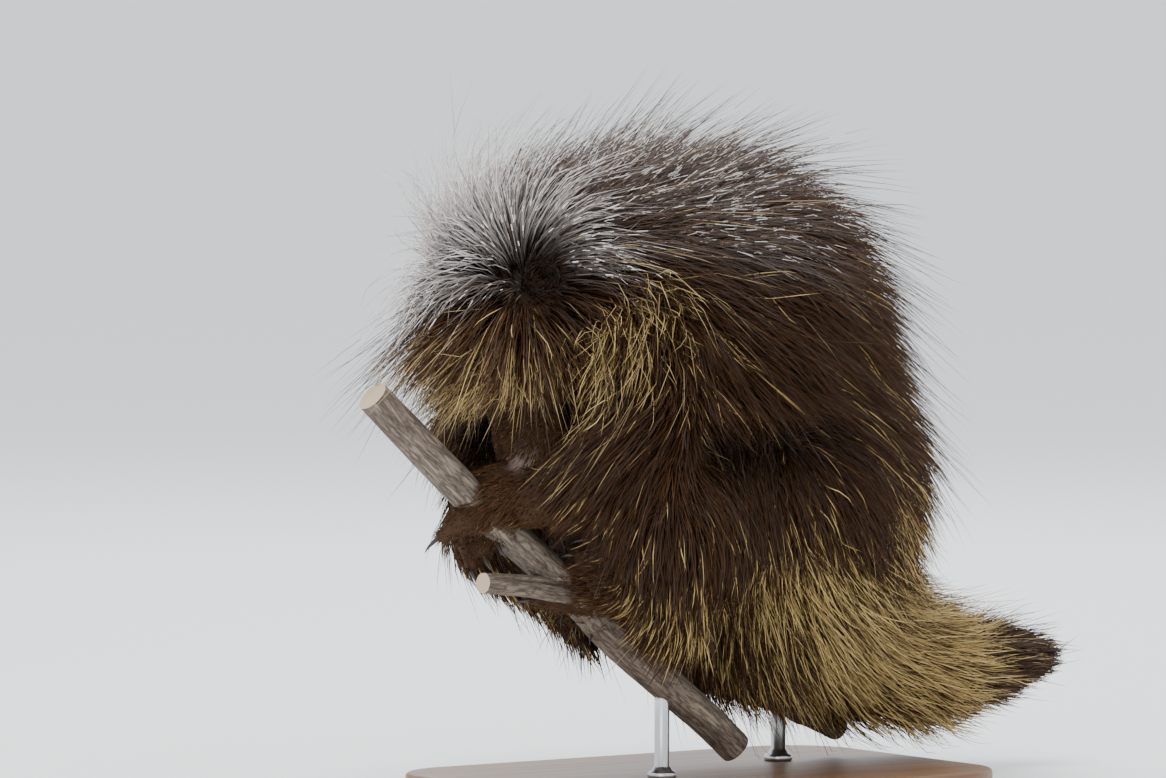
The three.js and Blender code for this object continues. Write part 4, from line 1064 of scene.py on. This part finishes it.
# Eyes
# Small dark glossy balls of glass, all but shut. Each sits under its lids, which leave only a narrow slit
# of it bare.
eye_gloss = plain_paint("eye gloss", (0.012, 0.008, 0.006), 0.06)
for side, centre in EYES.items():
    bm = bmesh.new()
    bmesh.ops.create_uvsphere(bm, u_segments=32, v_segments=20, radius=EYE_RADIUS)
    bmesh.ops.translate(bm, vec=centre, verts=bm.verts)
    eye_mesh = bpy.data.meshes.new(f"eyeball_{side}")
    bm.to_mesh(eye_mesh)
    bm.free()
    eye_mesh.materials.append(eye_gloss)
    finished(f"eyeball_{side}", eye_mesh, "eye", f"eye_{side}")


# Ears
# Short round ears: thin cups of dark skin that grow on the sides of the crown, all but sunk in its hair,
# and are covered and lined with down.
EAR_HEIGHT, EAR_RADIUS, EAR_FOOT_RADIUS, EAR_WALL = 0.027, 0.0125, 0.0035, 0.0014
EAR_ROWS, EAR_COLUMNS = 16, 48
DOWN_HAIRS, DOWN_WIDTH, DOWN_SHARES = 800, 0.0006, np.array((0, 0.5, 1))
ear_skin = plain_paint("ear skin", (0.02, 0.013, 0.01), 0.6)


def ear_axes(sign):
    """The ways up an ear, out of its front and across it."""
    up = unit((np.array((-0.4, 0.3, 0.9 * sign)) @ HEAD_AXES)[None])[0]
    front = np.array((0.5, 0.8, 0.1 * sign)) @ HEAD_AXES
    front = unit((front - up * (front @ up))[None])[0]
    return up, front, np.cross(up, front)


def ear_point(sign, rise, turn, outside):
    """A place on the cup: its rise from foot to rim, and its turn from the back, in radians."""
    up, front, across = ear_axes(sign)
    foot = on_head(-0.006, 0.01, 0.033 * sign)
    opening = np.sin(rise * np.pi / 2) ** 0.8
    wide = EAR_FOOT_RADIUS + (EAR_RADIUS - EAR_FOOT_RADIUS) * opening + (EAR_WALL if outside else 0) * 0.5
    high = EAR_HEIGHT * rise * (0.62 + 0.38 * np.cos(turn / 2) ** 2)
    back = wide * np.cos(turn) * 0.8 + 0.004 * rise ** 2
    return foot + up * high[..., None] - front * back[..., None] + across * (wide * np.sin(turn))[..., None]


def ear_sides():
    """The faces of a cup of two walls, the outer before the inner, joined at the rim and at the foot."""
    sides = []
    inner = EAR_ROWS * EAR_COLUMNS
    for wall in (0, inner):
        for i in range(EAR_ROWS - 1):
            for j in range(EAR_COLUMNS):
                a, b = wall + i * EAR_COLUMNS + j, wall + i * EAR_COLUMNS + (j + 1) % EAR_COLUMNS
                face = (a, b, b + EAR_COLUMNS, a + EAR_COLUMNS)
                sides.append(face if wall == 0 else (a, a + EAR_COLUMNS, b + EAR_COLUMNS, b))
    rim = inner - EAR_COLUMNS
    for j in range(EAR_COLUMNS):
        k = (j + 1) % EAR_COLUMNS
        sides += [(rim + j, rim + k, rim + inner + k, rim + inner + j), (k, j, inner + j, inner + k)]
    return sides


around = np.radians(np.linspace(0, 360, EAR_COLUMNS, endpoint=False))
for side, sign in (("left", 1), ("right", -1)):
    up, front, across = ear_axes(sign)
    rise, turn = np.meshgrid(np.linspace(0, 1, EAR_ROWS), around, indexing="ij")
    outer, inner = ear_point(sign, rise, turn, True), ear_point(sign, rise * 0.97 + 0.03, turn, False)
    inner -= up * (EAR_WALL * (rise < 0.5))[..., None]
    ear_mesh = bpy.data.meshes.new(f"ear_cup_{side}")
    cup = np.concatenate([outer.reshape(-1, 3), inner.reshape(-1, 3)])
    ear_mesh.from_pydata(cup.tolist(), [], ear_sides())
    bm = bmesh.new()
    bm.from_mesh(ear_mesh)
    bmesh.ops.recalc_face_normals(bm, faces=bm.faces)
    bm.to_mesh(ear_mesh)
    bm.free()
    ear_mesh.materials.append(ear_skin)
    finished(f"ear_cup_{side}", ear_mesh, "ear_skin", f"ear_{side}")

    rise, turn = 1 - SHARES.random(DOWN_HAIRS) ** 1.6 * 0.8, SHARES.uniform(0, 2 * np.pi, DOWN_HAIRS)
    outside = SHARES.random(DOWN_HAIRS) < 0.6
    at = np.where(outside[:, None], ear_point(sign, rise, turn, True), ear_point(sign, rise, turn, False))
    round_out = -front * np.cos(turn)[:, None] + across * np.sin(turn)[:, None]
    round_out *= np.where(outside, 1, -1)[:, None]
    reach = SHARES.uniform(0.006, 0.014, DOWN_HAIRS)
    way = unit(up * 0.9 + round_out * 0.55 + SHARES.normal(size=(DOWN_HAIRS, 3)) * 0.25)
    course = at[:, None] + way[:, None] * (DOWN_SHARES[None] * reach[:, None])[..., None]
    course[:, 2] -= round_out * (reach * 0.15)[:, None]
    course[:, 0] -= round_out * 0.0004
    roots = {
        "out": round_out,
        "uv": np.stack([rise, turn / 6.3], axis=1),
        "mark": np.tile((0.0, 0.0, 0.35), (DOWN_HAIRS, 1)),
        "tone_and_shade": SHARES.random(DOWN_HAIRS),
    }
    widths = np.full((DOWN_HAIRS, 2), DOWN_WIDTH)
    hair_piece(f"ear_down_{side}", roots, course, widths, DOWN_SHARES, "dark_coat", wool_paint)


# Claws
# Long dark curved claws of horn, one on each toe. Each grows out of the tip of its toe and hooks over the
# bark.
claw_horn = plain_paint("claw horn", (0.028, 0.02, 0.015), 0.32)
CLAW_LENGTH, CLAW_RADIUS, CLAW_IN_TOE, CLAW_ARCH = 0.019, 0.0024, 0.004, 0.0045


def rounded_rod(course, radii, sides, flat=1.0):
    """A closed tube along a course with a radius at each ring, its ends closed by one point each."""
    course, radii = np.array(course, float), np.array(radii, float)
    runs = unit(np.gradient(course, axis=0))
    across = np.cross(runs[0], (0.31, 0.77, 0.55))
    corners = []
    for ring, run in enumerate(runs):
        across = across - run * (across @ run)
        across /= np.linalg.norm(across)
        over = np.cross(run, across)
        turns = np.linspace(0, 2 * np.pi, sides, endpoint=False)[:, None]
        corners.append(course[ring] + radii[ring] * (across * np.cos(turns) + over * np.sin(turns) * flat))
    corners = np.concatenate(corners + [course[:1], course[-1:]])
    faces, rings = [], len(course)
    for ring in range(rings - 1):
        for k in range(sides):
            a, b = ring * sides + k, ring * sides + (k + 1) % sides
            faces.append((a, b, b + sides, a + sides))
    for k in range(sides):
        faces.append(((k + 1) % sides, k, rings * sides))
        faces.append(((rings - 1) * sides + k, (rings - 1) * sides + (k + 1) % sides, rings * sides + 1))
    return corners, faces


def joined_rods(name, rods, paint):
    """One mesh of several closed tubes."""
    corners, faces, count = [], [], 0
    for points, sides in rods:
        faces += [tuple(index + count for index in face) for face in sides]
        corners.append(points)
        count += len(points)
    mesh = bpy.data.meshes.new(name)
    mesh.from_pydata(np.concatenate(corners).tolist(), [], faces)
    mesh.materials.append(paint)
    return mesh


for paw_name, paw in PAWS.items():
    claws = []
    lift = unit(np.array([paw["reach"]]))[0]
    steps = np.linspace(0, 1, 10)
    for number in range(paw["toes"]):
        _, _, tip, way = toe_line(paw, number)
        start = tip - way * CLAW_IN_TOE
        straight = [start + way * (CLAW_LENGTH + CLAW_IN_TOE) * t for t in steps]
        course = [place + lift * CLAW_ARCH * math.sin(t * 2.6) for place, t in zip(straight, steps)]
        radii = [CLAW_RADIUS * max(0.02, (1 - t ** 1.5)) for t in steps]
        claws.append(rounded_rod(course, radii, sides=12, flat=0.8))
    finished(f"claws_{paw_name}", joined_rods(f"claws_{paw_name}", claws, claw_horn), "dark_coat")


# Perch
# A sawn fork of willow in its bark: near limb, far limb and the stub of a side shoot, with furrows along
# the grain, small knots, and pale sawn ends.
LIMBS = {
    "near": (
        ((-0.338, -0.035, 0.326), (-0.278, -0.037, 0.271), (-0.221, -0.034, 0.223), (-0.162, -0.036, 0.176),
         (-0.112, -0.034, 0.132), (-0.063, -0.036, 0.092), (-0.022, -0.037, 0.06), (0.008, -0.038, 0.034)),
        (0.013, 0.014, 0.0135, 0.013, 0.015, 0.014, 0.0135, 0.013),
    ),
    "far": (
        ((-0.128, -0.033, 0.146), (-0.092, -0.004, 0.128), (-0.04, 0.016, 0.106), (0.03, 0.022, 0.084),
         (0.1, 0.03, 0.064), (0.168, 0.04, 0.036)),
        (0.013, 0.0125, 0.012, 0.0115, 0.011, 0.01),
    ),
    "side": (
        ((-0.146, -0.038, 0.163), (-0.19, -0.044, 0.172), (-0.246, -0.052, 0.178)),
        (0.01, 0.009, 0.008),
    ),
}
LIMB_SEEDS = {"near": 0.3, "far": 1.7, "side": 2.9}
RING_GAP, LIMB_SIDES = 0.0026, 56
FURROW_DEPTH, RIPPLE_DEPTH, KNOT_HEIGHT, KNOT_DIMPLE = 0.0016, 0.0003, 0.0022, 0.0016


def smooth_line(points, values, count):
    """A Catmull-Rom line through the points, with the values carried along it."""
    p = np.array(points, float)
    p = np.concatenate([[2 * p[0] - p[1]], p, [2 * p[-1] - p[-2]]])
    t = np.linspace(0, len(points) - 1, count)
    i = np.minimum(t.astype(int), len(points) - 2)
    f = (t - i)[:, None]
    a, b, c, d = p[i], p[i + 1], p[i + 2], p[i + 3]
    bend, twist = 2 * a - 5 * b + 4 * c - d, 3 * b - a - 3 * c + d
    line = 0.5 * (2 * b + (c - a) * f + bend * f ** 2 + twist * f ** 3)
    return line, np.interp(t, np.arange(len(points)), values)


def bark_limb(name, points, radii):
    """A round limb along its line, its bark raised in furrows and ripples and swollen at the knots."""
    length = sum(np.linalg.norm(np.subtract(b, a)) for a, b in zip(points, points[1:]))
    count, sides, seed = int(length / RING_GAP), LIMB_SIDES, LIMB_SEEDS[name]
    line, swell = smooth_line(points, radii, count)
    corners, faces = rounded_rod(line, swell, sides)
    grid = corners[:count * sides].reshape(count, sides, 3)
    turn = np.linspace(0, 2 * np.pi, sides, endpoint=False)[None]
    run = np.linspace(0, length, count)[:, None]
    furrow = np.zeros((count, sides))
    for step in range(7):
        drift = 0.8 * np.sin(run * (21 + 13 * step) + seed * step)
        furrow += np.abs(np.sin(turn * (3 + 2 * step) / 2 * 2 + drift + seed * 3 * step)) ** 0.6 / (2 + step)
    ripple = 0.25 * np.sin(run * 260 + 3 * np.sin(turn + seed))
    ripple += 0.25 * np.sin(run * 97 + 2 * np.sin(turn * 2 + seed))
    relief = FURROW_DEPTH * (furrow - furrow.mean()) + RIPPLE_DEPTH * ripple
    for knot in range(max(2, int(length / 0.08))):
        at = length * (0.13 + 0.8 * ((knot * 0.618 + seed) % 1))
        facing = 6.28 * ((knot * 0.37 + seed) % 1)
        apart = ((run - at) / 0.007) ** 2 + (np.angle(np.exp(1j * (turn - facing))) / 0.42) ** 2
        relief += KNOT_HEIGHT * np.exp(-apart) - KNOT_DIMPLE * np.exp(-apart * 9)
    near_end = np.minimum(run, length - run)
    relief *= gentle(near_end, 0, 0.004) * 0.7 + 0.3
    outs = grid - line[:, None]
    outs /= np.linalg.norm(outs, axis=2)[..., None]
    corners[:count * sides] = (grid + outs * relief[..., None]).reshape(-1, 3)
    mesh = bpy.data.meshes.new(name)
    mesh.from_pydata(corners.tolist(), [], faces)
    return placed(name, mesh)


limb_shapes = [bark_limb(name, *limb) for name, limb in LIMBS.items()]
for other in limb_shapes[1:]:
    union = limb_shapes[0].modifiers.new("join", "BOOLEAN")
    union.operation = "UNION"
    union.solver = "EXACT"
    union.object = other
bark_mesh = plain_copy(limb_shapes[0], "perch_bark")
for other in limb_shapes[1:]:
    bpy.data.objects.remove(other)
bm = bmesh.new()
bm.from_mesh(bark_mesh)
bmesh.ops.remove_doubles(bm, verts=bm.verts, dist=0.00002)
bmesh.ops.dissolve_degenerate(bm, dist=0.000005, edges=bm.edges)
bmesh.ops.triangulate(bm, faces=[face for face in bm.faces if len(face.verts) > 4])
bm.to_mesh(bark_mesh)
bm.free()


def tinted(paint, value, stops):
    """The colour of a pattern, from stops that each say a height of the pattern and the colour there."""
    tints = add_node(paint, "ValToRGB", "Color", {"Fac": value})
    elements = tints.node.color_ramp.elements
    for element, (position, colour) in zip(elements, (stops[0], stops[-1])):
        element.position = position
        element.color = (*colour, 1)
    for position, colour in stops[1:-1]:
        elements.new(position).color = (*colour, 1)
    return tints


bark_paint = plain_paint("willow bark", (0.3, 0.25, 0.2), 0.85)
bark_place = add_node(bark_paint, "Attribute", "Vector", {}, attribute_name="grain_way")
patches = noise(bark_paint, bark_place, 170, 8, 0.65)
bark_tints = ((0.3, (0.045, 0.032, 0.023)), (0.5, (0.15, 0.112, 0.082)), (0.72, (0.31, 0.25, 0.19)))
cracks = noise(bark_paint, bark_place, 330, 3)
crack_levels = ((0, 1), (0.42, 1), (0.49, 0.25), (0.51, 0.25), (0.58, 1), (1, 1))
crack_tints = [(position, (level, level, level)) for position, level in crack_levels]
patched, cracked = tinted(bark_paint, patches, bark_tints), tinted(bark_paint, cracks, crack_tints)
bark_colour = mixed(bark_paint, 0.8, patched, cracked, "MULTIPLY")
feed(bark_paint, bark_paint.node_tree.nodes["Principled BSDF"].inputs["Base Color"], bark_colour)
bumped(bark_paint, noise(bark_paint, bark_place, 420, 6), strength=0.6, depth=0.0008)

# The bark's pattern is drawn out along each limb, so each corner carries its place along and about one.
bark_corners = corners_of(bark_mesh)
closest = np.full(len(bark_corners), 9.0)
grain_way = np.zeros((len(bark_corners), 3))
for number, (points, radii) in enumerate(LIMBS.values()):
    line, _ = smooth_line(points, radii, 90)
    runs = np.concatenate([[0], np.cumsum(np.linalg.norm(np.diff(line, axis=0), axis=1))])
    distances = np.linalg.norm(bark_corners[:, None] - line[None], axis=2)
    spot = distances.argmin(axis=1)
    nearer = distances.min(axis=1) < closest
    way = unit(np.gradient(line, axis=0))[spot]
    off = bark_corners - line[spot]
    along_way = (off * way).sum(axis=1)
    on_limb = (runs[spot] + along_way) * 0.16 + number * 0.3
    about = (off - way * along_way[:, None])[:, 2] * 1.2
    place = np.stack([on_limb, off[:, 1], about], axis=1)
    grain_way[nearer], closest[nearer] = place[nearer], distances.min(axis=1)[nearer]
carry(bark_mesh, "grain_way", "FLOAT_VECTOR", "vector", grain_way)

# The sawn ends are bare wood.
sawn_wood = plain_paint("sawn wood", (0.5, 0.39, 0.25), 0.7)
bark_mesh.materials.clear()
bark_mesh.materials.append(bark_paint)
bark_mesh.materials.append(sawn_wood)
finished("perch_bark", bark_mesh, "bark", "perch_limb")
ends = []
for points, _ in LIMBS.values():
    for end, before in ((points[0], points[1]), (points[-1], points[-2])):
        ends.append((np.array(end), unit(np.subtract([end], [before]))[0]))
for face in bark_mesh.polygons:
    for end, way in ends:
        if abs(Vector(way).dot(face.normal)) > 0.93 and (np.array(face.center) - end) @ way > -0.002:
            face.material_index = 1
            face.use_smooth = False


# Stand
# A plain base of oiled hardwood with rounded corners and a softened edge, and two bright steel rods, each
# set in a turned collar.
timber = plain_paint("oiled timber", (0.2, 0.1, 0.05), 0.42)
timber_place = add_node(timber, "TexCoord", "Object", {})
drawn_out = add_node(timber, "Mapping", "Vector", {"Vector": timber_place, "Scale": (6, 90, 60)})
timber_tints = ((0.3, (0.12, 0.055, 0.025)), (0.75, (0.27, 0.145, 0.07)))
timber_colour = tinted(timber, noise(timber, drawn_out, 1.0, 7), timber_tints)
feed(timber, timber.node_tree.nodes["Principled BSDF"].inputs["Base Color"], timber_colour)

BASE_LENGTH, BASE_WIDTH, BASE_HEIGHT, BASE_CORNER, BASE_EDGE = 0.43, 0.29, 0.014, 0.06, 0.003
bm = bmesh.new()
outline = []
for x_side, y_side, start in ((1, -1, -90), (1, 1, 0), (-1, 1, 90), (-1, -1, 180)):
    x, y = x_side * (BASE_LENGTH / 2 - BASE_CORNER), y_side * (BASE_WIDTH / 2 - BASE_CORNER)
    for angle in np.radians(np.linspace(start, start + 90, 17)):
        corner = (x + BASE_CORNER * math.cos(angle), y + BASE_CORNER * math.sin(angle), 0)
        outline.append(bm.verts.new(corner))
raised = bmesh.ops.extrude_face_region(bm, geom=[bm.faces.new(outline)])
raised_corners = [part for part in raised["geom"] if isinstance(part, bmesh.types.BMVert)]
bmesh.ops.translate(bm, vec=(0, 0, BASE_HEIGHT), verts=raised_corners)
bmesh.ops.recalc_face_normals(bm, faces=bm.faces)
slab_mesh = bpy.data.meshes.new("slab")
bm.to_mesh(slab_mesh)
bm.free()
slab = placed("slab", slab_mesh)
edge = slab.modifiers.new("edge", "BEVEL")
edge.width = BASE_EDGE
edge.segments = 4
edge.limit_method = "ANGLE"
edge.angle_limit = math.radians(50)
base_mesh = plain_copy(slab, "base_board")
base_mesh.materials.append(timber)
finished("base_board", base_mesh, "timber", "stand_base")
for face in base_mesh.polygons:
    face.use_smooth = abs(face.normal.z) < 0.98

bright_steel = plain_paint("bright steel", (0.6, 0.61, 0.62), 0.28, 1.0)
ROD_RADIUS = 0.006
RODS = ((-0.063, -0.036, 0.08), (0.1, 0.03, 0.055))
COLLAR = (
    (0, 0.0105), (0.001, 0.0115), (0.004, 0.0115), (0.0052, 0.0105), (0.006, 0.0085), (0.009, 0.0068),
    (0.0096, ROD_RADIUS),
)
for number, (x, y, top) in enumerate(RODS, 1):
    profile = [(BASE_HEIGHT + rise, radius) for rise, radius in COLLAR]
    profile += [(top - 0.004, ROD_RADIUS), (top, ROD_RADIUS)]
    rod = rounded_rod([(x, y, z) for z, _ in profile], [radius for _, radius in profile], sides=48)
    rod_mesh = joined_rods(f"rod_{number}", [rod], bright_steel)
    finished(f"rod_{number}", rod_mesh, "steel", f"stand_rod_{number}")
